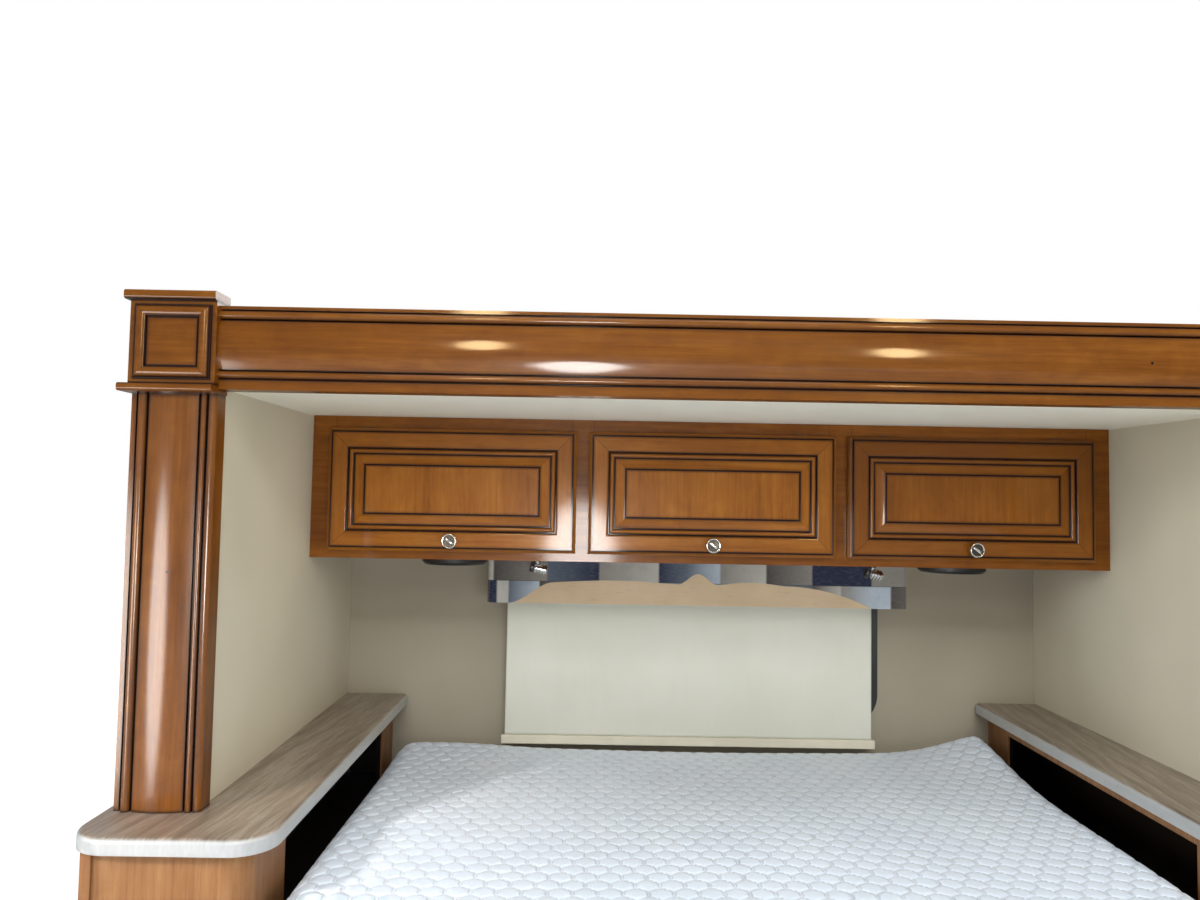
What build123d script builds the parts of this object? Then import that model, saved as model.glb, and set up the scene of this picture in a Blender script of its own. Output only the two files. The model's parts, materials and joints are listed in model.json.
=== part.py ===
from build123d import *
import os

# Bedroom slide-out of a motorhome: a room box with one window that rides through a
# frame in the coach wall, and carries a bed, side shelves, a wood fascia and an
# overhead cabinet with three lift-up doors.
# Sizes are in millimetres. X runs across the room, Y outwards through the coach wall,
# Z up. Y = 0 is the inner face of the outer wall, and Z = 0 the coach floor.

# Room box
ROOM_WIDTH = 1750
ROOM_DEPTH = 840
ROOM_HEIGHT = 1479
SIDE_WALL = 40
OUTER_WALL = 45
FLOOR_THICK = 50
ROOF_THICK = 50

# Glide bars under the floor
GLIDE_HEIGHT = 40
GLIDE_WIDTH = 60
GLIDE_FROM_SIDE = 275
GLIDE_INSET = 10

# Frame in the coach wall, and the gear racks that run through it
RUN_GAP = 5
COACH_WALL = 45
POST_WIDTH = 60
POST_WALL = 3
POST_SLOT = 16
RACK_THICK = 13
RACK_HEIGHT = 50
RACK_BACK = 5
RACK_ABOVE_FLOOR = 170
RACK_BELOW_CEILING = 239
RACK_INSET = 12

# Weather flange round the outer wall
FLANGE_THICK = 12
FLANGE_OUT = 60
FLANGE_DROP = 35
FLANGE_IN = 35
FLANGE_CORNER = 45
FLANGE_EDGE = 5
SEAL_THICK = 10
SEAL_WIDTH = 16
SEAL_INSET = 12

# Window in the outer wall
WINDOW_WIDTH = 914
WINDOW_HEIGHT = 390
WINDOW_BELOW_CABINET = 19
WINDOW_CORNER = 60
WINDOW_LIP = 24
WINDOW_PROUD = 8
WINDOW_LINER = 4
WINDOW_TRIM = 5
WINDOW_TRIM_LIP = 16
PANE_THICK = 4
PANE_GAP = 6
PANE_LAP = 22

# Wood fascia round the mouth of the room: boards with moulded faces. Each line of a
# form gives a stretch across the board: its width, then the board's thickness at the
# start, the middle and the end of that stretch. None in the middle is a straight line.
FASCIA_THICK = 45
COLUMN_WIDTH = 136
COLUMN_PROUD = 7
COLUMN_OUTER_FORM = (
    (8, 36, None, 36),
    (3, 31, None, 31),
    (15, 36, 42.5, 36),
    (3, 31, None, 31),
)
COLUMN_INNER_FORM = (
    (3, 31, None, 31),
    (10, 36, 41, 36),
    (3, 31, None, 31),
    (11, 38, 37, 32),
)
HEADER_HEIGHT = 136
HEADER_BELOW_CEILING = 6
HEADER_LOWER_FORM = (
    (16, 36, None, 36),
    (2, 31, None, 31),
    (12, 36, 41.5, 36),
    (2, 31, None, 31),
)
HEADER_UPPER_FORM = (
    (2, 31, None, 31),
    (14, 36, 42, 36),
    (2, 31, None, 31),
    (6, 36, None, 36),
)
FIELD_EDGE = 38

# Corner blocks, with a ledge below and a cap above
BLOCK_WIDTH = 138
BLOCK_HEIGHT = 135
BLOCK_THICK = 52
BLOCK_MARGIN = 8
BLOCK_FRAME_FORM = (
    (2, 2, None, 2),
    (17, 3, 8, 4),
    (2, 1, None, 1),
)
BLOCK_PANEL = 3
LEDGE_THICK = 13
CAP_THICK = 15
CAP_OUT = 8
LEDGE_OUT = 12
CAP_EDGE = 5

# Overhead cabinet
CABINET_DEPTH = 349
CABINET_HEIGHT = 310
CABINET_BOARD = 15
FRAME_THICK = 19
DOOR_END_GAP = 40.5
DOOR_HEIGHT = 265
DOOR_GAP = 27.5
DOOR_ABOVE_BOTTOM = 18
DOOR_OVERLAY = 10
DOOR_CLEAR = 5
DOOR_THICK = 18
DOOR_PANEL = 16.5
DOOR_FORM = (
    (7, 11, 14.5, 16),
    (2, 13, None, 13),
    (30, 18, None, 18),
    (4, 18, 17.4, 15),
    (2, 12, None, 12),
    (10, 13.5, 16.5, 13.5),
    (2, 11, None, 11),
    (22, 11.5, 13, 16.5),
    (2, 14, None, 14),
)
KNOB_ABOVE_EDGE = 24
KNOB_RADIUS = 16
KNOB_LENGTH = 24
KNOB_HEAD = 10
KNOB_NECK = 8
KNOB_RIM = 4
KNOB_DISH = 3
KNOB_BAR = 5
KNOB_BAR_TURN = 35
HINGE_FROM_EDGE = 79
HINGE_BARREL = 3
HINGE_PIN = 1.5
PIN_CLEAR = 0.05
HINGE_KNUCKLE = 16
HINGE_SIDE_GAP = 1
HINGE_LEAF = 1.5
HINGE_LEAF_HEIGHT = 9
HINGE_NOTCH = 5

# Side shelves: a worktop over a nightstand, on each side of the bed
COUNTER_TOP = 894
COUNTER_THICK = 25
COUNTER_WING = 153
COUNTER_SIDE = 148
COUNTER_OUT = 147
COUNTER_OUTER_RADIUS = 60
COUNTER_INNER_RADIUS = 60
COUNTER_FAR_RADIUS = 12
COUNTER_EDGE = 8
STAND_BOARD = 15
STAND_OVERHANG = 20
STAND_WING = 117
STAND_FLOOR_GAP = 8
STAND_POST = 40
PANEL_RECESS = 5
STILE_OUTER = 16
STILE_INNER = 2
STAND_PLINTH = 90
CUBBY_HEIGHT = 139
CUBBY_RAIL = 30
CUBBY_FAR_STILE = 110
CUBBY_NEAR_STILE = 170

# Bed
MATTRESS_SIDE_GAP = 18
MATTRESS_LENGTH = 1905
MATTRESS_THICK = 250
MATTRESS_EDGE = 45
MATTRESS_WALL_GAP = 15
DECK_TOP = 525
DECK_THICK = 18
DECK_INSET = 12
BED_BOARD = 18
BED_BOARD_INSET = 24
BED_HEAD_GAP = 40
BED_FLOOR_GAP = 12
GLIDE_PAD = 60

# Blind, pelmet and valance over the window
BLIND_CENTRE = -12
BLIND_PAST = 1
BLIND_ABOVE_BED = 31
BLIND_THICK = 1.2
BLIND_OUT = 40
BLIND_ROLL = 16
BLIND_ROLL_BELOW = 80
BLIND_CLEAR = 0.3
BAR_HEIGHT = 22
BAR_THICK = 10
BAR_PAST = 8
BRACKET_THICK = 4
BRACKET_GAP = 3
PELMET_PAST = 53
PELMET_DEPTH = 110
PELMET_HEIGHT = 119
PELMET_BOARD = 12
VALANCE_THICK = 3
VALANCE_GAP = 1
VALANCE_SIDE = 70
VALANCE_MIDDLE_DROP = 66
VALANCE_END_DROP = 119
VALANCE_LEFT_END = 50
VALANCE_LEFT_SLANT = 110
VALANCE_RIGHT_END = 86
VALANCE_RIGHT_SLANT = 215
VALANCE_NOTCH = 98
VALANCE_NOTCH_RISE = 25
VALANCE_TOP_GAP = 2

# Speakers and reading lamps under the cabinet
SPEAKER_FROM_SIDE = 298
SPEAKER_RADIUS = 75
SPEAKER_DEPTH = 18
SPEAKER_Y = -220
LAMP_FROM_SIDE = 491
LAMP_Y = -250
LAMP_FOOT_RADIUS = 22
LAMP_FOOT = 6
LAMP_STEM_RADIUS = 5
LAMP_STEM = 10
LAMP_HEAD_RADIUS = 13
LAMP_HEAD_LENGTH = 42

# Places worked out from the sizes above
room_half = ROOM_WIDTH / 2
box_half = room_half + SIDE_WALL
floor_bottom = GLIDE_HEIGHT
floor_top = floor_bottom + FLOOR_THICK
ceiling = floor_top + ROOM_HEIGHT
roof_top = ceiling + ROOF_THICK
wall_inner = -ROOM_DEPTH + RUN_GAP
wall_outer = wall_inner + COACH_WALL
post_inner = box_half + RACK_THICK + RUN_GAP
post_outer = post_inner + POST_WIDTH
head_bottom = roof_top + RUN_GAP
counter_bottom = COUNTER_TOP - COUNTER_THICK
counter_inner = room_half - COUNTER_WING
counter_outer = room_half + COUNTER_SIDE
counter_front = ROOM_DEPTH + COUNTER_OUT
stand_face = room_half - STAND_WING
cubby_top = counter_bottom - CUBBY_RAIL
cubby_floor = cubby_top - CUBBY_HEIGHT
cabinet_bottom = ceiling - CABINET_HEIGHT
window_bottom = cabinet_bottom - WINDOW_BELOW_CABINET - WINDOW_HEIGHT
door_bottom = cabinet_bottom + DOOR_ABOVE_BOTTOM
door_top = door_bottom + DOOR_HEIGHT
door_back = -CABINET_DEPTH - DOOR_CLEAR
door_width = (ROOM_WIDTH - 2 * DOOR_END_GAP - 2 * DOOR_GAP) / 3
door_pitch = door_width + DOOR_GAP
column_bottom = COUNTER_TOP
ledge_top = ceiling
ledge_bottom = ledge_top - LEDGE_THICK
column_outer = room_half - COLUMN_PROUD + COLUMN_WIDTH
deck_bottom = DECK_TOP - DECK_THICK
mattress_half = stand_face - MATTRESS_SIDE_GAP
mattress_top = DECK_TOP + MATTRESS_THICK
mattress_head = -MATTRESS_WALL_GAP
mattress_foot = mattress_head - MATTRESS_LENGTH
bed_half = mattress_half - BED_BOARD_INSET
bed_foot = mattress_foot + BED_BOARD_INSET
blind_half = WINDOW_WIDTH / 2 + BLIND_PAST
blind_bottom = mattress_top + BLIND_ABOVE_BED
pelmet_half = WINDOW_WIDTH / 2 + PELMET_PAST
DOORS = (("left", -door_pitch), ("centre", 0), ("right", door_pitch))
SIDES = (("left", -1), ("right", 1))


def block(x, y, z):
    """A plain block between the low and high value along each axis."""
    centre = Pos(sum(x) / 2, sum(y) / 2, sum(z) / 2)
    return centre * Box(x[1] - x[0], y[1] - y[0], z[1] - z[0])


def both_sides(piece):
    """A piece and its mirror image on the other side of the room."""
    return Compound(children=[piece, mirror(piece, about=Plane.YZ)])


def place(side, piece):
    """A piece modelled on the left, put on the side asked for."""
    return piece if side < 0 else mirror(piece, about=Plane.YZ)


def tilt_up(piece):
    """Stand a piece drawn flat on the ground up, with its top facing the room."""
    return Rot(90, 0, 0) * piece


def moulding(form):
    """The cross-section of a moulded board, across X and with its thickness along Y."""
    edges = []
    across, height = 0, 0
    for width, start, middle, end in form:
        if start != height:
            edges.append(Line((across, height), (across, start)))
        far = (across + width, end)
        if middle is None:
            edges.append(Line((across, start), far))
        else:
            edges.append(ThreePointArc((across, start), (across + width / 2, middle), far))
        across, height = far
    edges.append(Line((across, height), (across, 0)))
    edges.append(Line((across, 0), (0, 0)))
    return make_face(edges)


def form_width(form):
    """The whole width of a moulded board's form."""
    return sum(line[0] for line in form)


def with_field(lower, upper, width):
    """A form with a swelling field between its two edge mouldings."""
    field = width - form_width(lower) - form_width(upper)
    return lower + ((field, FIELD_EDGE, FASCIA_THICK, FIELD_EDGE),) + upper


def mitred_frame(form, width, height):
    """A moulded frame, flat on XY: four bars of one section, mitred at the corners."""
    depth = form_width(form)
    tall = max(max(line[1], line[2] or 0, line[3]) for line in form)
    bars = []
    for turn, (long, across) in enumerate(((width, height), (height, width)) * 2):
        bar = Pos(-long / 2, 0, 0) * extrude(Plane.YZ * moulding(form), long)
        corners = [
            (-long / 2, 0),
            (long / 2, 0),
            (long / 2 - depth, depth),
            (-long / 2 + depth, depth),
        ]
        wedge = extrude(make_face(Polyline(*corners, close=True)), tall)
        bars.append(Rot(0, 0, 90 * turn) * Pos(0, -across / 2, 0) * (bar & wedge))
    return bars[0] + bars[1:]


def ring(width, height, corner, band, thick):
    """A flat rounded frame on XY: its outer size, its corner and the width of its band."""
    outer = RectangleRounded(width, height, corner)
    inner = RectangleRounded(width - 2 * band, height - 2 * band, max(corner - band, 1))
    return extrude(outer - inner, thick)


def floor_panel():
    """The floor, from the outer wall to the mouth of the room."""
    return block((-box_half, box_half), (-ROOM_DEPTH, 0), (floor_bottom, floor_top))


def roof_panel():
    """The roof, whose underside is the alcove's ceiling."""
    return block((-box_half, box_half), (-ROOM_DEPTH, 0), (ceiling, roof_top))


def side_wall():
    """The left side wall, between the floor and the roof."""
    return block((-box_half, -room_half), (-ROOM_DEPTH, 0), (floor_top, ceiling))


def window_place(depth):
    """The middle of the window, at a depth along Y, with the drawing plane stood up."""
    return Pos(0, depth, window_bottom + WINDOW_HEIGHT / 2) * Rot(90, 0, 0)


def outer_wall():
    """The outer wall over the ends of the floor, roof and sides, with the window cut."""
    wall = block((-box_half, box_half), (0, OUTER_WALL), (floor_bottom, roof_top))
    hole = extrude(RectangleRounded(WINDOW_WIDTH, WINDOW_HEIGHT, WINDOW_CORNER), OUTER_WALL)
    return wall - window_place(OUTER_WALL) * hole


def glide_bars():
    """Three bars under the floor, on which the room glides over the coach floor."""
    bars = []
    for index in (-1, 0, 1):
        middle = index * (room_half - GLIDE_FROM_SIDE)
        span = (middle - GLIDE_WIDTH / 2, middle + GLIDE_WIDTH / 2)
        run = (-ROOM_DEPTH + GLIDE_INSET, OUTER_WALL - GLIDE_INSET)
        bars.append(block(span, run, (0, GLIDE_HEIGHT)))
    return Compound(children=bars)


def wall_post():
    """The left post of the coach wall's frame: a channel with a slot for the racks."""
    post = block((-post_outer, -post_inner), (wall_inner, wall_outer), (0, head_bottom))
    hollow = block(
        (-post_outer + POST_WALL, -post_inner - POST_WALL),
        (wall_inner + POST_WALL, wall_outer - POST_WALL),
        (0, head_bottom),
    )
    middle = (wall_inner + wall_outer) / 2
    slot = block(
        (-post_inner - POST_WALL, -post_inner),
        (middle - POST_SLOT / 2, middle + POST_SLOT / 2),
        (0, head_bottom),
    )
    return post - hollow - slot


def wall_head():
    """The head of the coach wall's frame: a tube across the two posts."""
    height = (head_bottom, head_bottom + POST_WIDTH)
    tube = block((-post_outer, post_outer), (wall_inner, wall_outer), height)
    hollow = block(
        (-post_outer, post_outer),
        (wall_inner + POST_WALL, wall_outer - POST_WALL),
        (height[0] + POST_WALL, height[1] - POST_WALL),
    )
    return tube - hollow


def gear_racks():
    """Two racks on the outside of each side wall, which the wall's pinions drive."""
    racks = []
    run = (-ROOM_DEPTH + RACK_INSET, -RACK_INSET)
    low_rack = floor_top + RACK_ABOVE_FLOOR
    high_rack = ceiling - RACK_BELOW_CEILING - RACK_HEIGHT
    for low in (low_rack, high_rack):
        span = (-box_half - RACK_THICK, -box_half)
        racks.append(both_sides(block(span, run, (low, low + RACK_HEIGHT))))
    return Compound(children=racks)


def wall_flange():
    """The moulded flange that laps over the outside of the coach wall."""
    low = floor_bottom - FLANGE_DROP
    high = roof_top + FLANGE_OUT
    width = 2 * (box_half + FLANGE_OUT)
    outer = RectangleRounded(width, high - low, FLANGE_CORNER)
    inner_low = floor_bottom + FLANGE_IN
    inner_high = roof_top - FLANGE_IN
    inner = Rectangle(2 * (box_half - FLANGE_IN), inner_high - inner_low)
    shift = (inner_low + inner_high) / 2 - (low + high) / 2
    body = extrude(outer - Pos(0, shift) * inner, FLANGE_THICK)
    body = chamfer(body.faces().sort_by(Axis.Z)[-1].outer_wire().edges(), FLANGE_EDGE)
    return Pos(0, OUTER_WALL + FLANGE_THICK, (low + high) / 2) * tilt_up(body)


def flange_seal():
    """The rubber bulb seal behind the flange, which closes on the coach wall."""
    low = floor_bottom - FLANGE_DROP + SEAL_INSET / 2
    high = roof_top + FLANGE_OUT - SEAL_INSET
    half = box_half + FLANGE_OUT - SEAL_INSET
    outer = block((-half, half), (OUTER_WALL - SEAL_THICK, OUTER_WALL), (low, high))
    half = half - SEAL_WIDTH
    span = (OUTER_WALL - SEAL_THICK, OUTER_WALL)
    inner = block((-half, half), span, (low - SEAL_WIDTH, high - SEAL_WIDTH))
    return outer - inner


def window_frame():
    """The window's frame: an outside lip, a liner through the wall and an inner trim."""
    wide = WINDOW_WIDTH + 2 * WINDOW_LIP
    tall = WINDOW_HEIGHT + 2 * WINDOW_LIP
    band = WINDOW_LIP + WINDOW_LINER
    corner = WINDOW_CORNER + WINDOW_LIP
    lip = ring(wide, tall, corner, band, WINDOW_PROUD)
    through = WINDOW_TRIM + OUTER_WALL
    liner = ring(WINDOW_WIDTH, WINDOW_HEIGHT, WINDOW_CORNER, WINDOW_LINER, through)
    trim = ring(
        WINDOW_WIDTH + 2 * WINDOW_TRIM_LIP,
        WINDOW_HEIGHT + 2 * WINDOW_TRIM_LIP,
        WINDOW_CORNER + WINDOW_TRIM_LIP,
        WINDOW_TRIM_LIP + WINDOW_LINER,
        WINDOW_TRIM,
    )
    frame = window_place(OUTER_WALL + WINDOW_PROUD) * lip
    frame = frame + window_place(OUTER_WALL) * liner
    return frame + window_place(0) * trim


def window_panes():
    """Two sliding panes of tinted glass, one behind the other where they lap."""
    wide = WINDOW_WIDTH - 2 * WINDOW_LINER
    tall = WINDOW_HEIGHT - 2 * WINDOW_LINER
    corner = WINDOW_CORNER - WINDOW_LINER
    sheet = extrude(RectangleRounded(wide, tall, corner), PANE_THICK)
    middle = OUTER_WALL / 2
    panes = []
    for side, depth in ((-1, middle - PANE_GAP), (1, middle + PANE_GAP)):
        edge = -side * PANE_LAP
        half = block(sorted((edge, side * wide)), (-tall, tall), (0, PANE_THICK))
        panes.append(window_place(depth) * (sheet & half))
    return Compound(children=panes)


def fascia_column():
    """The left column of the fascia: a moulded board, stood on the worktop."""
    form = with_field(COLUMN_OUTER_FORM, COLUMN_INNER_FORM, COLUMN_WIDTH)
    board = extrude(moulding(form), ledge_bottom - column_bottom)
    board = mirror(board, about=Plane.XZ)
    return Pos(-column_outer, -ROOM_DEPTH, column_bottom) * board


def fascia_header():
    """The moulded board across the top of the mouth, between the corner blocks."""
    form = with_field(HEADER_LOWER_FORM, HEADER_UPPER_FORM, HEADER_HEIGHT)
    length = 2 * (column_outer - BLOCK_WIDTH)
    board = extrude(Plane.YZ * moulding(form), length)
    low = ceiling - HEADER_BELOW_CEILING
    return Pos(-length / 2, -ROOM_DEPTH, low) * tilt_up(board)


def corner_block():
    """The left corner block: a framed square, with a ledge below and a cap above."""
    span = (-column_outer, -column_outer + BLOCK_WIDTH)
    centre = sum(span) / 2
    low = ledge_top
    high = low + BLOCK_HEIGHT
    body = block(span, (-ROOM_DEPTH - BLOCK_THICK, -ROOM_DEPTH), (low, high))
    side = BLOCK_WIDTH - 2 * BLOCK_MARGIN
    tall = BLOCK_HEIGHT - 2 * BLOCK_MARGIN
    frame = mitred_frame(BLOCK_FRAME_FORM, side, tall)
    band = form_width(BLOCK_FRAME_FORM)
    panel = extrude(Rectangle(side - 2 * band, tall - 2 * band), BLOCK_PANEL)
    face = Pos(centre, -ROOM_DEPTH - BLOCK_THICK, (low + high) / 2)
    body = body + face * tilt_up(frame + panel)
    boards = ((LEDGE_OUT, ledge_bottom, ledge_top), (CAP_OUT, high, high + CAP_THICK))
    for out, board_low, board_high in boards:
        wide = (span[0] - out, span[1])
        deep = (-ROOM_DEPTH - BLOCK_THICK - out, -ROOM_DEPTH)
        board = block(wide, deep, (board_low, board_high))
        body = body + fillet(board.edges().filter_by(Axis.X).group_by(Axis.Y)[0], CAP_EDGE)
    return body


def worktop_outline():
    """The left worktop from above: a wing beside the bed and a wider front."""
    step = -ROOM_DEPTH
    points = [
        (-room_half, 0),
        (-counter_inner, 0),
        (-counter_inner, -counter_front),
        (-counter_outer, -counter_front),
        (-counter_outer, step),
        (-room_half, step),
    ]
    radii = [
        0,
        COUNTER_FAR_RADIUS,
        COUNTER_INNER_RADIUS,
        COUNTER_OUTER_RADIUS,
        0,
        0,
    ]
    return make_face(FilletPolyline(*points, radius=radii, close=True))


def counter():
    """The left worktop, its upper edge rounded where it doesn't meet a wall."""
    top = Pos(0, 0, counter_bottom) * extrude(worktop_outline(), COUNTER_THICK)
    rim = top.faces().sort_by(Axis.Z)[-1].edges()
    free = [edge for edge in rim if is_free_edge(edge)]
    return fillet(free, COUNTER_EDGE)


def is_free_edge(edge):
    """True for an edge of the worktop that stands clear of the walls and the fascia."""
    middle = edge @ 0.5
    beside_bed = middle.X > -room_half + COUNTER_EDGE and middle.Y < -COUNTER_EDGE
    in_front = middle.Y < -ROOM_DEPTH - COUNTER_EDGE
    return beside_bed or in_front


def stand_outline(inset):
    """The left nightstand from above, drawn in from its outer faces by an inset."""
    front = -counter_front + STAND_OVERHANG + inset
    outer = -counter_outer + STAND_OVERHANG + inset
    step = -ROOM_DEPTH - inset
    points = [
        (-room_half + inset, -inset),
        (-stand_face - inset, -inset),
        (-stand_face - inset, front),
        (outer, front),
        (outer, step),
        (-room_half + inset, step),
    ]
    radii = [0, 0, max(STAND_POST - inset, 0), 0, 0, 0]
    return make_face(FilletPolyline(*points, radius=radii, close=True))


def nightstand():
    """The left nightstand: a hollow case with a panelled front and an open cubby."""
    height = counter_bottom - floor_top
    case = extrude(stand_outline(0), height) - extrude(stand_outline(STAND_BOARD), height)
    shelf = Pos(0, 0, cubby_floor - STAND_BOARD - floor_top)
    case = case + shelf * extrude(stand_outline(STAND_BOARD), STAND_BOARD)
    case = Pos(0, 0, floor_top) * case
    low = STAND_FLOOR_GAP
    skirt = extrude(stand_outline(0), floor_top - low)
    skirt = skirt - extrude(stand_outline(STAND_BOARD), floor_top - low)
    behind = (-ROOM_DEPTH, 0)
    skirt = Pos(0, 0, low) * skirt - block((-box_half, 0), behind, (0, floor_top))
    case = case + skirt
    front = -counter_front + STAND_OVERHANG
    outer = -counter_outer + STAND_OVERHANG
    field = block(
        (outer + STILE_OUTER, -stand_face - STAND_POST - STILE_INNER),
        (front, front + PANEL_RECESS),
        (STAND_PLINTH, counter_bottom),
    )
    mouth = block(
        (-stand_face - STAND_BOARD, -stand_face),
        (front + CUBBY_NEAR_STILE, -CUBBY_FAR_STILE),
        (cubby_floor, cubby_top),
    )
    return case - field - mouth


def cabinet_box():
    """The cabinet's boards: a bottom, two ends and a divider behind each frame stile."""
    inner = -CABINET_DEPTH + FRAME_THICK
    box = block((-room_half, room_half), (inner, 0), (cabinet_bottom, cabinet_bottom + CABINET_BOARD))
    places = (
        -room_half + CABINET_BOARD / 2,
        -door_pitch / 2,
        door_pitch / 2,
        room_half - CABINET_BOARD / 2,
    )
    for middle in places:
        span = (middle - CABINET_BOARD / 2, middle + CABINET_BOARD / 2)
        box = box + block(span, (inner, 0), (cabinet_bottom, ceiling))
    return box


def cabinet_face_frame():
    """The frame on the cabinet's front, with an opening behind each door."""
    depth = (-CABINET_DEPTH, -CABINET_DEPTH + FRAME_THICK)
    frame = block((-room_half, room_half), depth, (cabinet_bottom, ceiling))
    for name, middle in DOORS:
        half = door_width / 2 - DOOR_OVERLAY
        height = (door_bottom + DOOR_OVERLAY, door_top - DOOR_OVERLAY)
        frame = frame - block((middle - half, middle + half), depth, height)
    return frame


def hinge_places(middle):
    """The middles of one door's two hinges."""
    reach = door_width / 2 - HINGE_FROM_EDGE
    return (middle - reach, middle + reach)


def barrel(x_low, x_high, radius):
    """A round bar along the hinge axis, at the top of the doors' backs."""
    bar = extrude(Plane.YZ * Circle(radius), x_high - x_low)
    return Pos(x_low, door_back, door_top) * bar


def cabinet_hinges():
    """The fixed half of each hinge: a leaf on the frame, a knuckle and the pin."""
    hinges = []
    for name, door_middle in DOORS:
        for middle in hinge_places(door_middle):
            span = (middle - HINGE_KNUCKLE, middle)
            leaf_y = (-CABINET_DEPTH - HINGE_LEAF, -CABINET_DEPTH)
            leaf_z = (door_top - HINGE_LEAF_HEIGHT, door_top)
            leaf = block(span, leaf_y, leaf_z)
            arm_z = (door_top - HINGE_BARREL, door_top)
            arm = block(span, (door_back, -CABINET_DEPTH), arm_z)
            pin = barrel(middle, middle + HINGE_SIDE_GAP + HINGE_KNUCKLE, HINGE_PIN)
            hinges.append(leaf + arm + barrel(*span, HINGE_BARREL) + pin)
    return Compound(children=hinges)


def door_hinges(door_middle):
    """One door's own half of its hinges: a knuckle on a leaf let into the door."""
    leaves = []
    for middle in hinge_places(door_middle):
        inner = middle + HINGE_SIDE_GAP
        span = (inner, inner + HINGE_KNUCKLE)
        back = door_back - HINGE_NOTCH
        low = door_top - HINGE_NOTCH
        leaf = block(span, (back, back + HINGE_LEAF / 2), (low, door_top))
        web_z = (door_top - HINGE_BARREL, door_top - HINGE_BARREL / 2)
        web = block(span, (back, door_back), web_z)
        bore = barrel(*span, HINGE_PIN + PIN_CLEAR)
        leaves.append(leaf + web + barrel(*span, HINGE_BARREL) - bore)
    return Compound(children=leaves)


def cabinet_door(middle):
    """A raised-panel door: a mitred moulded frame round a fielded panel."""
    frame = mitred_frame(DOOR_FORM, door_width, DOOR_HEIGHT)
    band = form_width(DOOR_FORM)
    panel = extrude(Rectangle(door_width - 2 * band, DOOR_HEIGHT - 2 * band), DOOR_PANEL)
    door = tilt_up(frame + panel)
    door = Pos(middle, door_back, (door_bottom + door_top) / 2) * door
    for place_x in hinge_places(middle):
        notch = block(
            (place_x - HINGE_KNUCKLE - HINGE_SIDE_GAP, place_x + HINGE_KNUCKLE + HINGE_SIDE_GAP),
            (door_back - HINGE_NOTCH, door_back),
            (door_top - HINGE_NOTCH, door_top),
        )
        door = door - notch
    return door


def door_knob(middle):
    """A turned knob on the lower rail of a door: a neck and a dished head."""
    outline = Polyline(
        (0, 0),
        (KNOB_NECK, 0),
        (KNOB_NECK, KNOB_LENGTH - KNOB_HEAD),
        (KNOB_RADIUS, KNOB_LENGTH - KNOB_HEAD),
        (KNOB_RADIUS, KNOB_LENGTH),
        (KNOB_RADIUS - KNOB_RIM, KNOB_LENGTH),
        (KNOB_RADIUS - KNOB_RIM, KNOB_LENGTH - KNOB_DISH),
        (0, KNOB_LENGTH - KNOB_DISH),
        close=True,
    )
    turned = revolve(Plane.XZ * make_face(outline), Axis.Z)
    long = 2 * (KNOB_RADIUS - KNOB_RIM) - KNOB_BAR / 2
    bar = Box(long, KNOB_BAR, KNOB_DISH)
    bar = Rot(0, 0, KNOB_BAR_TURN) * Pos(0, 0, KNOB_LENGTH - KNOB_DISH / 2) * bar
    face = door_back - DOOR_THICK
    return Pos(middle, face, door_bottom + KNOB_ABOVE_EDGE) * tilt_up(turned + bar)


def pelmet_shell(out, thick, side, low, high):
    """A three-sided box front, of one thickness, a given way out from the pelmet."""
    half = pelmet_half + out
    front = -PELMET_DEPTH - out
    outer = block((-half, half), (front, front + side), (low, high))
    inner = block((-half + thick, half - thick), (front + thick, front + side), (low, high))
    return outer - inner


def pelmet():
    """The padded board under the cabinet that hides the blind's roller."""
    return pelmet_shell(0, PELMET_BOARD, PELMET_DEPTH, cabinet_bottom - PELMET_HEIGHT, cabinet_bottom)


def valance():
    """The cloth over the pelmet, with its lower edge cut in a long step with a notch."""
    out = VALANCE_GAP + VALANCE_THICK
    low = cabinet_bottom - VALANCE_END_DROP
    cloth = pelmet_shell(out, VALANCE_THICK, VALANCE_SIDE, low, cabinet_bottom - VALANCE_TOP_GAP)
    left = VALANCE_LEFT_END - pelmet_half
    right = pelmet_half - VALANCE_RIGHT_END
    notch = VALANCE_NOTCH / 2
    edge = cabinet_bottom - VALANCE_MIDDLE_DROP
    peak = edge + VALANCE_NOTCH_RISE
    outline = Polyline(
        (-notch, edge),
        (left + VALANCE_LEFT_SLANT, edge),
        (left, low),
        (right, low),
        (right - VALANCE_RIGHT_SLANT, edge),
        (notch, edge),
    )
    scallop = make_face([*outline.edges(), ThreePointArc((notch, edge), (0, peak), (-notch, edge))])
    return cloth - extrude(Plane.XZ * scallop, PELMET_DEPTH + out)


def blind_roller():
    """The blind's roller, between two brackets that hang from the cabinet."""
    half = blind_half + BRACKET_GAP
    z = cabinet_bottom - BLIND_ROLL_BELOW
    y = -BLIND_OUT + BLIND_ROLL
    tube = extrude(Plane.YZ * Circle(BLIND_ROLL), 2 * half)
    roller = Pos(-half, y, z) * tube
    for side in (-1, 1):
        span = sorted((side * half, side * (half + BRACKET_THICK)))
        depth = (y - BLIND_ROLL, y + BLIND_ROLL)
        roller = roller + block(span, depth, (z - BLIND_ROLL, cabinet_bottom))
    return Pos(BLIND_CENTRE, 0, 0) * roller


def blind_fabric():
    """The blind's cloth, pulled down nearly to the mattress."""
    half = blind_half
    face = -BLIND_OUT - BLIND_CLEAR
    z_high = cabinet_bottom - BLIND_ROLL_BELOW
    span = (BLIND_CENTRE - half, BLIND_CENTRE + half)
    return block(span, (face - BLIND_THICK, face), (blind_bottom, z_high))


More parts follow.
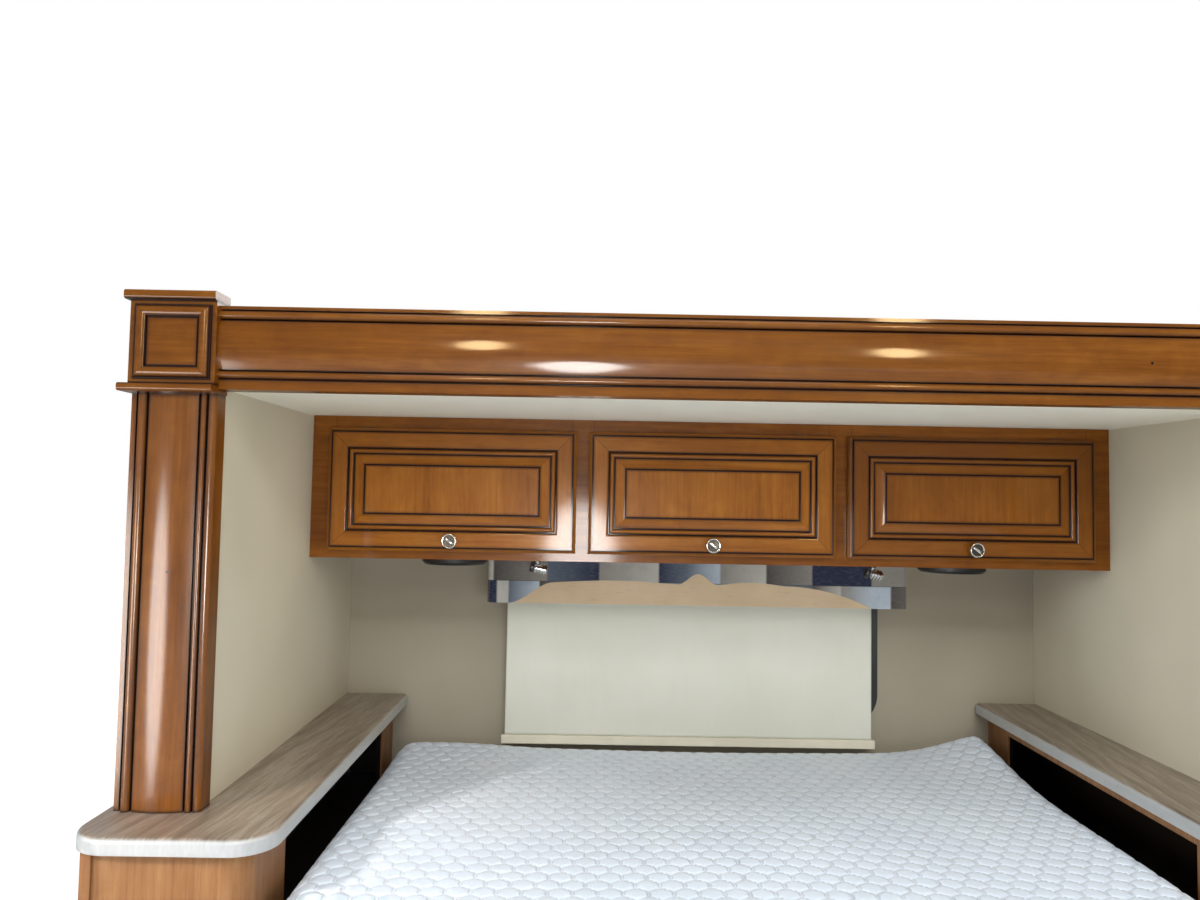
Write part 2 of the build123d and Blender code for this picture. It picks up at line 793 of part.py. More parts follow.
def blind_bar():
    """The weight bar along the bottom of the blind."""
    half = blind_half + BAR_PAST
    middle = -BLIND_OUT - BLIND_CLEAR - BLIND_THICK / 2
    span = (BLIND_CENTRE - half, BLIND_CENTRE + half)
    depth = (middle - BAR_THICK / 2, middle + BAR_THICK / 2)
    bar = block(span, depth, (blind_bottom - BAR_HEIGHT, blind_bottom))
    return fillet(bar.edges().filter_by(Axis.X), BAR_THICK / 4)


def speakers():
    """Two round speakers under the cabinet."""
    can = Cylinder(SPEAKER_RADIUS, SPEAKER_DEPTH)
    can = chamfer(can.edges().sort_by(Axis.Z)[0], SPEAKER_DEPTH / 3)
    can = Pos(-room_half + SPEAKER_FROM_SIDE, SPEAKER_Y, cabinet_bottom - SPEAKER_DEPTH / 2) * can
    return both_sides(can)


def reading_lamps():
    """Two reading lamps under the cabinet: a foot, a stem and a slanted head."""
    foot = Pos(0, 0, -LAMP_FOOT / 2) * Cylinder(LAMP_FOOT_RADIUS, LAMP_FOOT)
    stem_length = LAMP_FOOT + LAMP_STEM
    stem = Pos(0, 0, -stem_length / 2) * Cylinder(LAMP_STEM_RADIUS, stem_length)
    head = Rot(0, 90, 0) * Cylinder(LAMP_HEAD_RADIUS, LAMP_HEAD_LENGTH)
    head = Pos(0, 0, -LAMP_FOOT - LAMP_STEM - LAMP_HEAD_RADIUS / 2) * head
    lamp = foot + stem + head
    return both_sides(Pos(-room_half + LAMP_FROM_SIDE, LAMP_Y, cabinet_bottom) * lamp)


def bed_base():
    """The bed's boards: two sides, a head and a foot, on the room's and coach's floors."""
    outer = block((-bed_half, bed_half), (bed_foot, -BED_HEAD_GAP), (BED_FLOOR_GAP, deck_bottom))
    inner = block(
        (-bed_half + BED_BOARD, bed_half - BED_BOARD),
        (bed_foot + BED_BOARD, -BED_HEAD_GAP - BED_BOARD),
        (BED_FLOOR_GAP, deck_bottom),
    )
    room = block((-bed_half, bed_half), (-ROOM_DEPTH - RUN_GAP, 0), (0, floor_top))
    return outer - inner - room


def bed_glides():
    """Pads under the bed's foot, on which it glides over the coach floor."""
    pads = []
    for y in (bed_foot, (bed_foot - ROOM_DEPTH) / 2):
        span = (-bed_half, -bed_half + BED_BOARD)
        pads.append(both_sides(block(span, (y, y + GLIDE_PAD), (0, BED_FLOOR_GAP))))
    return Compound(children=pads)


def bed_deck():
    """The bed's deck, under the mattress."""
    half = mattress_half - DECK_INSET
    span = (mattress_foot + DECK_INSET, mattress_head - DECK_INSET)
    return block((-half, half), span, (deck_bottom, DECK_TOP))


def mattress():
    """The mattress, a plain solid of its outer size, its upper edge drawn in."""
    half = mattress_half
    body = block((-half, half), (mattress_foot, mattress_head), (DECK_TOP, mattress_top))
    body = fillet(body.edges().filter_by(Axis.Z), MATTRESS_EDGE)
    return chamfer(body.faces().sort_by(Axis.Z)[-1].edges(), MATTRESS_EDGE / 3)


pieces = {
    "wall_head": wall_head(),
    "glide_bars": glide_bars(),
    "floor_panel": floor_panel(),
    "roof_panel": roof_panel(),
    "outer_wall": outer_wall(),
    "wall_flange": wall_flange(),
    "flange_seal": flange_seal(),
    "window_frame": window_frame(),
    "window_panes": window_panes(),
    "gear_racks": gear_racks(),
    "fascia_header": fascia_header(),
    "cabinet_box": cabinet_box(),
    "cabinet_face_frame": cabinet_face_frame(),
    "cabinet_hinges": cabinet_hinges(),
    "pelmet": pelmet(),
    "valance": valance(),
    "blind_roller": blind_roller(),
    "blind_fabric": blind_fabric(),
    "blind_bar": blind_bar(),
    "speakers": speakers(),
    "reading_lamps": reading_lamps(),
    "bed_base": bed_base(),
    "bed_glides": bed_glides(),
    "bed_deck": bed_deck(),
    "mattress": mattress(),
}
handed = {
    "wall_post": wall_post(),
    "side_wall": side_wall(),
    "fascia_column": fascia_column(),
    "corner_block": corner_block(),
    "counter": counter(),
    "nightstand": nightstand(),
}
for side_name, side in SIDES:
    for name, piece in handed.items():
        pieces[name + "_" + side_name] = place(side, piece)
for door_name, middle in DOORS:
    pieces["door_" + door_name] = cabinet_door(middle)
    pieces["door_hinges_" + door_name] = door_hinges(middle)
    pieces["knob_" + door_name] = door_knob(middle)

os.makedirs("parts", exist_ok=True)
for name, piece in pieces.items():
    export_step(piece, os.path.join("parts", name + ".step"))
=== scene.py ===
"""The looks of a motorhome's bedroom slide-out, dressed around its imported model. Metres."""
import json
import math
from functools import partialmethod

import bpy
import numpy as np
from mathutils import Matrix, Vector

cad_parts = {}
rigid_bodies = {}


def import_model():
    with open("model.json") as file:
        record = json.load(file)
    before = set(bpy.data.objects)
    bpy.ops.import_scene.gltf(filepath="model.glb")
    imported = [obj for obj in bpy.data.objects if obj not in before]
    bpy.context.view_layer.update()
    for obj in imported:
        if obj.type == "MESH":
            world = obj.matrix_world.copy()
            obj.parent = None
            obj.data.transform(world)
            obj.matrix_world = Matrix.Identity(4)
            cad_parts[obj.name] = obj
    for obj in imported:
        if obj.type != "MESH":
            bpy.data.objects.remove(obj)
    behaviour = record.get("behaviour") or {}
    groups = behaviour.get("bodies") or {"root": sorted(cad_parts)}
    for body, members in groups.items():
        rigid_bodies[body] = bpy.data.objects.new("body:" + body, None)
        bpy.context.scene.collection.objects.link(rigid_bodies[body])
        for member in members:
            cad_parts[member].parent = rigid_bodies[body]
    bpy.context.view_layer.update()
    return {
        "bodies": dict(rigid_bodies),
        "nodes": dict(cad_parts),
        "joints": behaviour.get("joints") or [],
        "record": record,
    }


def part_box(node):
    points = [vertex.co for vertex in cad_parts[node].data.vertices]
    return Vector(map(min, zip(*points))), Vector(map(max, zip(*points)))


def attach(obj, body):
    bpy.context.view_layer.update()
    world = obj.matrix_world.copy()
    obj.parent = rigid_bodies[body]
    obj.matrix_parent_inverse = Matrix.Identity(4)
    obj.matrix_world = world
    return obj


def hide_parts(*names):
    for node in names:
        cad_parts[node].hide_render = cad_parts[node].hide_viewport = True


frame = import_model()
nodes = frame["nodes"]
BODY = "slide_box"
DOOR_NAMES = ("left", "centre", "right")


def corners(node):
    """The low and the high corner of a node's box in the model."""
    return [[float(part) for part in corner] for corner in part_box(node)]


# Places read from the model
door_low, door_high = corners("door_centre")
header_low = corners("fascia_header")[0]
column_low, column_high = corners("fascia_column_left")
block_low, block_high = corners("corner_block_left")
bed_low, bed_high = corners("mattress")
cloth_low, cloth_high = corners("blind_fabric")
valance_low, valance_high = corners("valance")
counter_high = corners("counter_left")[1]
stand_high = corners("nightstand_left")[1]
wall_low, wall_high = corners("side_wall_left")
roof_low, roof_high = corners("roof_panel")
outer_high = corners("outer_wall")[1]
knob_low, knob_high = corners("knob_centre")
speaker_low = corners("speakers")[0]
rack_low, rack_high = corners("gear_racks")
frame_head = corners("wall_head")[0][2]
door_pitch = corners("door_right")[0][0] - door_low[0]
bed_base_half = -corners("bed_base")[0][0]


# Shader values

class Value:
    """What a node gives: arithmetic on it adds Math nodes."""

    def __init__(self, kit, socket):
        self.kit = kit
        self.socket = socket

    def math(self, operation, *others):
        values = dict(enumerate((self, *others)))
        return self.kit.node("ShaderNodeMath", values, operation=operation)

    __add__ = __radd__ = partialmethod(math, "ADD")
    __sub__ = partialmethod(math, "SUBTRACT")
    __mul__ = __rmul__ = partialmethod(math, "MULTIPLY")
    __truediv__ = partialmethod(math, "DIVIDE")
    __abs__ = partialmethod(math, "ABSOLUTE")
    over = partialmethod(math, "GREATER_THAN")
    under = partialmethod(math, "LESS_THAN")
    least = partialmethod(math, "MINIMUM")
    most = partialmethod(math, "MAXIMUM")

    def __rsub__(self, other):
        return self * -1.0 + other

    def rise(self, low, high):
        """0 below low, 1 above high, smooth between."""
        values = {0: self, 1: low, 2: high}
        return self.kit.node("ShaderNodeMapRange", values, interpolation_type="SMOOTHSTEP")

    def near(self, centre, core, edge):
        """1 within core of a centre, 0 beyond edge."""
        return 1.0 - abs(self - centre).rise(core, edge)

    def sine(self, half_wave):
        """A sine whose half wave has this length."""
        return (self * (math.pi / half_wave)).math("SINE")

    def ribs(self, width):
        """Threads of this width side by side, as a height from 0 to 1."""
        return self.sine(width) * 0.5 + 0.5

    def every(self, step):
        """The distance from the nearest whole multiple of a step."""
        return abs(self - (self / step).math("ROUND") * step)


class Kit:
    """A tree of nodes, built node by node."""

    def __init__(self, tree):
        self.tree = tree

    def node(self, kind, values=None, out=0, **settings):
        """Any node: its settings, and then the values or links of its sockets."""
        node = self.tree.nodes.new(kind)
        for key, value in settings.items():
            setattr(node, key, value)
        for key, value in (values or {}).items():
            if isinstance(value, Value):
                self.tree.links.new(value.socket, node.inputs[key])
            else:
                node.inputs[key].default_value = value
        return Value(self, node.outputs[out])


class Finish(Kit):
    """One procedural material on a Principled shader."""

    def __init__(self, name, **constants):
        self.material = bpy.data.materials.new(name)
        self.material.use_nodes = True
        super().__init__(self.material.node_tree)
        self.shader = self.tree.nodes["Principled BSDF"]
        for socket, value in constants.items():
            self.shader.inputs[socket.replace("_", " ")].default_value = value
        self.place = self.node("ShaderNodeTexCoord", out="Object")
        self.x, self.y, self.z = self.parts(self.place)

    def parts(self, vector):
        """A vector's three parts."""
        separate = self.node("ShaderNodeSeparateXYZ", {0: vector}).socket.node
        return [Value(self, output) for output in separate.outputs]

    def along_cloth(self):
        """The UV of a made piece: metres along it and up it."""
        return self.parts(self.node("ShaderNodeTexCoord", out="UV"))[:2]

    def vector(self, x, y, z):
        return self.node("ShaderNodeCombineXYZ", {0: x, 1: y, 2: z})

    def noise(self, place, scale, detail=3.0, roughness=0.55, distortion=0.0):
        names = ("Vector", "Scale", "Detail", "Roughness", "Distortion")
        values = (place, scale, detail, roughness, distortion)
        return self.node("ShaderNodeTexNoise", dict(zip(names, values)))

    def ramp(self, factor, stops):
        """A colour that runs through stops, each a place and a colour."""
        value = self.node("ShaderNodeValToRGB", {0: factor})
        elements = value.socket.node.color_ramp.elements
        elements.remove(elements[1])
        elements[0].position = stops[0][0]
        elements[0].color = (*stops[0][1], 1.0)
        for position, colour in stops[1:]:
            elements.new(position).color = (*colour, 1.0)
        return value

    def mix(self, factor, first, second):
        """A mix of two colours; each is a link or three numbers."""
        first = first if isinstance(first, Value) else (*first, 1.0)
        second = second if isinstance(second, Value) else (*second, 1.0)
        values = {0: factor, 6: first, 7: second}
        return self.node("ShaderNodeMix", values, out=2, data_type="RGBA")

    def clouded(self, scale, first, second, *settings):
        """Two colours in soft clouds."""
        cloud = self.noise(self.place, scale, *settings)
        return self.mix(cloud.rise(0.3, 0.7), first, second)

    @staticmethod
    def choose(factor, first, second):
        """A mix of two numbers."""
        return first + (second - first) * factor

    def paint(self, **sockets):
        """Link values to the shader's sockets."""
        for socket, value in sockets.items():
            self.tree.links.new(value.socket, self.shader.inputs[socket.replace("_", " ")])

    def done(self, colour, rough, height, distance, strength=1.0, **sockets):
        """The material, with its colour, its roughness and a bump this distance deep."""
        values = {"Height": height, "Distance": distance, "Strength": strength}
        bump = self.node("ShaderNodeBump", values)
        self.paint(Base_Color=colour, Roughness=rough, Normal=bump, **sockets)
        return self.material


# Wood

HONEY = ((0.100, 0.0280, 0.0019), (0.155, 0.0475, 0.0033), (0.218, 0.0765, 0.0070))
DOOR_STAIN = ((0.232, 0.066, 0.004), (0.370, 0.120, 0.010), (0.494, 0.182, 0.020))
# A darker stain, also used as painted shade on the doors
DARKER_DOOR = (0.120, 0.0345, 0.0026)
CABINET_STAIN = ((0.122, 0.033, 0.003), (0.202, 0.061, 0.005), (0.280, 0.095, 0.011))
STAND_STAIN = ((0.195, 0.079, 0.027), (0.290, 0.136, 0.054), (0.374, 0.196, 0.088))
GLAZE = (0.018, 0.005, 0.0018)

# A nail hole's radius, and that of its soft edge
NAIL_HOLE = (0.0016, 0.0030)
HOLE_COLOUR = (0.01, 0.004, 0.002)
# Near-black painted shade inside the nightstands' recess
CUBBY_SHADE_COLOUR = (0.012, 0.008, 0.006)


def wood_finish(
    name, stain, grain, glaze=None, dark=None, shade=None, pits=(), coat=0.4, gloss=0.10
):
    """Lacquered wood. grain gives places along, across and through it, in metres; glaze,
    dark and shade give the shares of dark glaze, of near-black painted shade in a recess and
    of darker stain with painted shade; pits are the centres of nail holes; coat is the lacquer's
    weight and gloss is its roughness."""
    finish = Finish(name, Coat_Weight=coat, Coat_Roughness=gloss, Specular_IOR_Level=0.08)
    length, width, depth = grain(finish)

    def fibres(along, across, *settings):
        """Noise that is drawn out along the grain."""
        place = finish.vector(length * along, width * across, depth * across)
        return finish.noise(place, *settings)

    broad = fibres(1.3, 12.0, 1.4, 4.0, 0.6, 0.8)
    streak = fibres(6.0, 130.0, 1.0, 4.0, 0.65)
    pores = fibres(22.0, 620.0, 1.0, 2.0)
    blotch = fibres(7.0, 9.0, 2.0, 3.0, 0.6, 0.8)
    figure = broad * 0.44 + streak * 0.32 + blotch * 0.24
    colour = finish.ramp(figure, ((0.34, stain[0]), (0.50, stain[1]), (0.66, stain[2])))
    colour = finish.mix(pores.rise(0.56, 0.72) * 0.35, colour, stain[0])
    # Darker stain with painted shade, where a mask for it is given
    if shade is not None:
        colour = finish.mix(shade(finish), colour, DARKER_DOOR)
    # Near-black painted shade inside a recess
    if dark is not None:
        colour = finish.mix(dark(finish), colour, CUBBY_SHADE_COLOUR)
    height = pores * -0.25 + streak * -0.2
    rough = 0.30 + streak * 0.12
    if glaze is not None:
        # For the columns the mask also holds the painted shadow under the ledge
        mask = glaze(finish)
        colour = finish.mix(mask, colour, GLAZE)
        height = height - mask * 2.0
        rough = rough + mask * 0.2
    for centre in pits:
        ends = {0: finish.place, 1: centre}
        away = finish.node("ShaderNodeVectorMath", ends, out="Value", operation="DISTANCE")
        hole = 1.0 - away.rise(*NAIL_HOLE)
        colour = finish.mix(hole, colour, HOLE_COLOUR)
        height = height - hole * 6.0
    return finish.done(colour, rough, height, 0.0004, 0.55)


def along_x(finish):
    return finish.x, finish.z, finish.y


def along_z(finish):
    return finish.z, finish.x, finish.y


def along_board(finish):
    """Along each board of the bed's base: across its ends, and lengthwise on its sides."""
    side = abs(finish.x).over(bed_base_half - 0.010)
    along = finish.choose(side, finish.x, finish.y)
    return along, finish.z, finish.choose(side, finish.y, finish.x)


def grooves(distance, places, soft=0.0018):
    """Dark glaze in grooves: each place is a groove's middle and its half width."""
    mask = None
    for middle, half in places:
        line = distance.near(middle, half, half + soft)
        halo = distance.near(middle, half, half + 3.5 * soft) * 0.42
        line = line.most(halo)
        mask = line if mask is None else mask.most(line)
    return mask


# Groove places in metres, measured across each moulding from its edge
HEADER_GROOVES = ((0.017, 0.0010), (0.031, 0.0010), (0.113, 0.0010), (0.129, 0.0010))
COLUMN_GROOVES = ((0.0095, 0.0013), (0.0275, 0.0013), (0.1105, 0.0013), (0.1235, 0.0015))
DOOR_GROOVES = ((0.008, 0.0013), (0.044, 0.0014), (0.056, 0.0012), (0.080, 0.0014))
BLOCK_GROOVES = ((0.001, 0.0016), (0.020, 0.0015))
BLOCK_MARGIN = 0.008

# How far in from a door's edge its rails and the slope of its panel reach
DOOR_BAND = 0.081

# What is added at a limit, so that a face that lies on it is counted in
MARGIN = 0.0005

# The nightstands' open cubby along Y, and its floor
CUBBY_NEAR, CUBBY_FAR = -0.797, -0.001
CUBBY_FLOOR = 0.700

# The corner blocks' ledge and cap
LEDGE_THICK = 0.013
LEDGE_OUT = 0.012
CAP_THICK = 0.015


def header_glaze(finish):
    return grooves(finish.z - header_low[2], HEADER_GROOVES)


def column_glaze_and_ledge_shade(finish):
    across = -column_low[0] - abs(finish.x)
    foot = (finish.z - column_low[2]).near(0.0, 0.0015, 0.006) * 0.8
    # Painted shadow of the ledge along the column's head, with the dark joint line under it
    head = (finish.z - column_high[2]).near(0.0, 0.0015, 0.008) * 0.8
    return grooves(across, COLUMN_GROOVES).most(foot).most(head)


def door_inset(finish):
    """The distance in from a door's nearest side edge and from its nearest rail edge."""
    half_width = (door_high[0] - door_low[0]) / 2
    half_height = (door_high[2] - door_low[2]) / 2
    middle = (door_high[2] + door_low[2]) / 2
    side = half_width - finish.x.every(door_pitch)
    rail = half_height - abs(finish.z - middle)
    return side, rail


def door_glaze(finish):
    side, rail = door_inset(finish)
    inset = side.least(rail)
    mitre = (1.0 - abs(side - rail).rise(0.0003, 0.0011)) * inset.under(0.043) * 0.55
    return grooves(inset, DOOR_GROOVES).most(mitre)


def door_grain(finish):
    """Rails are grained across, stiles and the panel upright."""
    side, rail = door_inset(finish)
    upright = 1.0 - rail.under(side) * rail.under(DOOR_BAND)
    along = finish.choose(upright, finish.x, finish.z + 3.0)
    across = finish.choose(upright, finish.z, finish.x)
    return along, across, finish.y


def door_tone_and_painted_shade(finish):
    """The right door is darker, partly a darker stain and partly painted shade where the light
    falls off; rails and stiles are a darker stain; each door's top is painted shade, as under the
    header.
    """
    side, rail = door_inset(finish)
    right = finish.x.over(door_pitch / 2)
    frame = side.least(rail).under(DOOR_GROOVES[1][0])
    # Painted shade: darker towards each door's top, as in the header's shadow
    top = (finish.z - door_low[2]) * (1.0 / (door_high[2] - door_low[2]))
    return (right * 0.42 + frame * 0.18 + top.rise(0.1, 1.0) * 0.22).least(0.85)


def block_glaze(finish):
    low = block_low[2] + LEDGE_THICK
    high = block_high[2] - CAP_THICK
    outer = block_low[0] + LEDGE_OUT
    inner = block_high[0]
    side = (inner - outer) / 2 - BLOCK_MARGIN - abs(abs(finish.x) + (outer + inner) / 2)
    rail = (high - low) / 2 - BLOCK_MARGIN - abs(finish.z - (low + high) / 2)
    inset = side.least(rail)
    on_face = finish.y.under(block_low[1] + 0.020)
    mitre = 1.0 - abs(side - rail).rise(0.0004, 0.0012)
    mitre = mitre * inset.over(0.0) * inset.under(0.020) * 0.5
    seams = grooves(finish.z, ((low + MARGIN, 0.001), (high - MARGIN, 0.001)))
    return (grooves(inset, BLOCK_GROOVES) * on_face).most(mitre * on_face).most(seams)


def frame_glaze(finish):
    """Dark lines where the cabinet's rails meet its stiles."""
    stile = abs(finish.x.every(door_pitch) - door_pitch / 2)
    joint = stile.near(0.024, 0.0003, 0.0009)
    rails = (finish.z - door_high[2]).over(-0.004)
    return joint * rails * 0.5


def cubby_painted_shade(finish):
    """The recess in a nightstand, whose inside is painted near-black as painted shade."""
    inside = abs(finish.x).over(-stand_high[0] + 0.004)
    deep = abs(finish.x).under(-wall_high[0] - MARGIN)
    along = finish.y.over(CUBBY_NEAR - MARGIN) * finish.y.under(CUBBY_FAR + MARGIN)
    return inside * deep * along * finish.z.over(CUBBY_FLOOR - MARGIN)


def pair(name):
    """A left and a right node."""
    return [name + "_left", name + "_right"]


def wood_finishes():
    """Every wood finish, with the nodes that have it."""
    column_pit = (-0.932, column_low[1], 1.270)
    header_pits = (0.640, header_low[1], 1.632), (-0.800, header_low[1] + 0.006, 1.6855)
    header = wood_finish("honey_header", HONEY, along_x, header_glaze, pits=header_pits)
    column = wood_finish(
        "honey_column", HONEY, along_z, column_glaze_and_ledge_shade, pits=(column_pit,), coat=0.8, gloss=0.17
    )
    block = wood_finish("honey_block", HONEY, along_x, block_glaze)
    door = wood_finish("honey_door", DOOR_STAIN, door_grain, door_glaze, shade=door_tone_and_painted_shade)
    cabinet = wood_finish("dark_cabinet", CABINET_STAIN, along_x, frame_glaze, coat=0.3)
    stand = wood_finish("pale_stand", STAND_STAIN, along_z, dark=cubby_painted_shade, coat=0.2)
    bed = wood_finish("pale_bed", STAND_STAIN, along_board, coat=0.2)
    return {
        header: ["fascia_header"],
        column: pair("fascia_column"),
        block: pair("corner_block"),
        door: ["door_" + name for name in DOOR_NAMES],
        cabinet: ["cabinet_box", "cabinet_face_frame"],
        stand: pair("nightstand"),
        bed: ["bed_base"],
    }


# Other finishes

def plywood_finish():
    finish = Finish("plywood", Specular_IOR_Level=0.25)
    grain = finish.noise(finish.vector(finish.x * 60.0, finish.y * 3.0, finish.z * 3.0), 1.0, 4.0)
    plies = finish.z.ribs(math.pi / 2200.0)
    colour = finish.ramp(grain, ((0.3, (0.40, 0.26, 0.13)), (0.7, (0.58, 0.42, 0.24))))
    colour = finish.mix(plies * 0.3, colour, (0.24, 0.14, 0.07))
    return finish.done(colour, 0.65 + grain * 0.2, grain, 0.0004)


# How near to the outside a face counts as outside
SKIN = 0.002


def panel_finish():
    """Papered inside, off-white gel coat outside and a pale ceiling under the roof. The back
    wall's paper is a darker copy, painted shade, and the ceiling's paleness is partly its own
    paint and partly painted light. The outer wall and the roof are glossy outside, and the side
    walls are satin."""
    finish = Finish("wall_panel", Specular_IOR_Level=0.2, Coat_Roughness=0.2)
    fibre = finish.noise(finish.place, 420.0, 3.0, 0.6)
    tone = finish.noise(finish.place, 3.0, 2.0, 0.5).rise(0.3, 0.7)
    paper = finish.mix(tone, (0.600, 0.546, 0.414), (0.654, 0.600, 0.462))
    # Painted shade: the back wall's paper is a darker copy of the side walls' paper
    shaded_back_paper = finish.mix(tone, (0.352, 0.307, 0.227), (0.387, 0.339, 0.255))
    paper = finish.mix(finish.y.over(-MARGIN), paper, shaded_back_paper)
    # The ceiling: a paler paint, made paler still as painted light
    ceiling = finish.mix(tone, (0.93, 0.89, 0.755), (0.95, 0.915, 0.785))
    gel = finish.mix(tone, (0.74, 0.73, 0.69), (0.765, 0.755, 0.715))
    overhead = finish.z.over(roof_low[2] - 2 * MARGIN)
    glossy = finish.y.over(outer_high[1] - SKIN)
    glossy = glossy.most(finish.z.over(roof_high[2] - SKIN))
    outside = glossy.most(abs(finish.x).over(-wall_low[0] - SKIN))
    colour = finish.mix(outside, finish.mix(overhead, paper, ceiling), gel)
    rough = finish.choose(glossy, 0.62 + fibre * 0.1, 0.25 + fibre * 0.04)
    height = fibre * (1.0 - outside * 0.8)
    return finish.done(colour, rough, height, 0.0003, 0.5, Coat_Weight=glossy * 0.5)


def floor_finish():
    finish = Finish("floor_covering", Specular_IOR_Level=0.25)
    fleck = finish.noise(finish.place, 260.0, 3.0, 0.7)
    colour = finish.ramp(fleck, ((0.35, (0.17, 0.13, 0.09)), (0.65, (0.33, 0.27, 0.20))))
    return finish.done(colour, 0.75 + fleck * 0.15, fleck, 0.0015)


def laminate_finish():
    """Stone-look laminate: streaks along one slant, paler on the rounded rim."""
    finish = Finish("stone_laminate", Coat_Weight=0.5, Coat_Roughness=0.18)
    slant = finish.y + finish.x * 0.12
    cross = finish.x - finish.y * 0.12

    def streaks(along, across, upward, *settings):
        """Noise that is drawn out along the slant."""
        place = finish.vector(slant * along, cross * across, finish.z * upward)
        return finish.noise(place, 1.0, *settings)

    long_streak = streaks(4.0, 52.0, 8.0, 6.0, 0.68, 0.5)
    fine_streak = streaks(14.0, 190.0, 40.0, 3.0, 0.6)
    pits = streaks(60.0, 210.0, 90.0, 2.0)
    figure = long_streak * 0.65 + fine_streak * 0.35
    stops = (
        (0.34, (0.108, 0.075, 0.050)),
        (0.43, (0.168, 0.122, 0.085)),
        (0.51, (0.243, 0.186, 0.136)),
        (0.59, (0.335, 0.276, 0.216)),
        (0.67, (0.205, 0.158, 0.117)),
    )
    colour = finish.ramp(figure, stops)
    colour = finish.mix(pits.rise(0.60, 0.72) * 0.4, colour, (0.16, 0.11, 0.07))
    top = counter_high[2]
    rim = 1.0 - finish.z.rise(top - 0.0045, top - 0.0005)
    pale = finish.mix(fine_streak.rise(0.30, 0.70), (0.420, 0.431, 0.422), (0.452, 0.468, 0.464))
    colour = finish.mix(rim * 0.88, colour, pale)
    return finish.done(colour, 0.26 + fine_streak * 0.16, fine_streak + pits, 0.0002, 0.5)


def metal_finish(name, colour, rough, polish=0.0):
    """Metal with fine handling marks; polish takes them out of its roughness."""
    finish = Finish(name, Metallic=1.0)
    marks = finish.noise(finish.place, 900.0, 3.0, 0.6)
    cloud = finish.noise(finish.place, 60.0, 2.0, 0.5)
    darker = tuple(channel * 0.82 for channel in colour)
    tint = finish.mix(cloud.rise(0.35, 0.65), darker, colour)
    return finish.done(tint, rough + marks * 0.10 * (1.0 - polish), marks, 0.00008, 0.3)


def extruded_finish():
    """Mill-finish aluminium, with fine lines along each extrusion: upright in the posts and
    across in the head."""
    finish = Finish("mill_aluminium", Metallic=1.0)
    head = finish.z.over(frame_head)
    along = finish.choose(head, finish.z, finish.x) * 6.0
    across = finish.choose(head, finish.x, finish.z) * 900.0
    lines = finish.noise(finish.vector(across, finish.y * 900.0, along), 1.0, 2.0)
    cloud = finish.noise(finish.vector(across * 0.05, finish.y * 30.0, along), 0.25, 2.0)
    colour = finish.mix(cloud.rise(0.3, 0.7), (0.60, 0.60, 0.61), (0.68, 0.68, 0.69))
    return finish.done(colour, 0.34 + lines * 0.18, lines, 0.0001, 0.4)


RACK_PITCH = 0.0085
RACK_WIDTH = 0.050


def rack_finish():
    """A gear rack: bright teeth with dark gaps between them along the middle of its faces."""
    finish = Finish("gear_rack", Metallic=1.0)
    cloud = finish.noise(finish.place, 30.0, 3.0, 0.6)
    band = (finish.z - rack_low[2]).math("PINGPONG", (rack_high[2] - rack_low[2]) / 2)
    toothed = band.near(RACK_WIDTH / 2, 0.015, 0.0165)
    gap = (1.0 - finish.y.sine(RACK_PITCH / 2).rise(-0.35, 0.35)) * toothed
    colour = finish.mix(cloud.rise(0.3, 0.7), (0.40, 0.40, 0.41), (0.54, 0.54, 0.55))
    colour = finish.mix(gap * 0.85, colour, (0.035, 0.032, 0.030))
    return finish.done(colour, 0.32 + cloud * 0.12 + gap * 0.2, gap * -1.0, 0.0025)


def moulded_finish(name, colour, rough, depth=0.00015, coat=0.0, spread=1.15):
    """Moulded plastic, rubber or paint: a fine grain and a slight cloud of tone."""
    finish = Finish(name, Coat_Weight=coat, Coat_Roughness=0.2)
    grain = finish.noise(finish.place, 700.0, 3.0, 0.6)
    lighter = tuple(min(1.0, channel * spread + 0.004) for channel in colour)
    tint = finish.clouded(9.0, colour, lighter, 3.0, 0.6)
    return finish.done(tint, rough + grain * 0.12, grain, depth, 0.6)


SPEAKER_HOLES = 0.0045


def speaker_finish():
    """A black grille: round holes in rows over dark cloth."""
    finish = Finish("speaker_grille", Specular_IOR_Level=0.4)
    hole_x = finish.x.every(SPEAKER_HOLES)
    hole_y = finish.y.every(SPEAKER_HOLES)
    away = (hole_x * hole_x + hole_y * hole_y).math("SQRT")
    mask = (1.0 - away.rise(0.0011, 0.0016)) * finish.z.under(speaker_low[2] + 0.0015)
    dust = finish.noise(finish.place, 300.0, 2.0)
    colour = finish.mix(mask, (0.016, 0.015, 0.014), (0.003, 0.003, 0.003))
    return finish.done(colour, 0.42 + dust * 0.15, mask * -1.0, 0.0012)


def glass_finish():
    """Dark tinted glass with a faint film of dust."""
    finish = Finish("tinted_glass", Transmission_Weight=0.55, IOR=1.5, Coat_Weight=0.5)
    dust = finish.noise(finish.place, 25.0, 4.0, 0.6)
    tint = finish.mix(dust.rise(0.3, 0.8), (0.030, 0.036, 0.036), (0.050, 0.056, 0.054))
    finish.paint(Base_Color=tint, Roughness=0.04 + dust * 0.06)
    return finish.material


def weave(warp, weft, step):
    """Plain weave: threads over and under, as a height from 0 to 1."""
    return (warp.sine(step) * weft.sine(step)) * 0.5 + 0.5


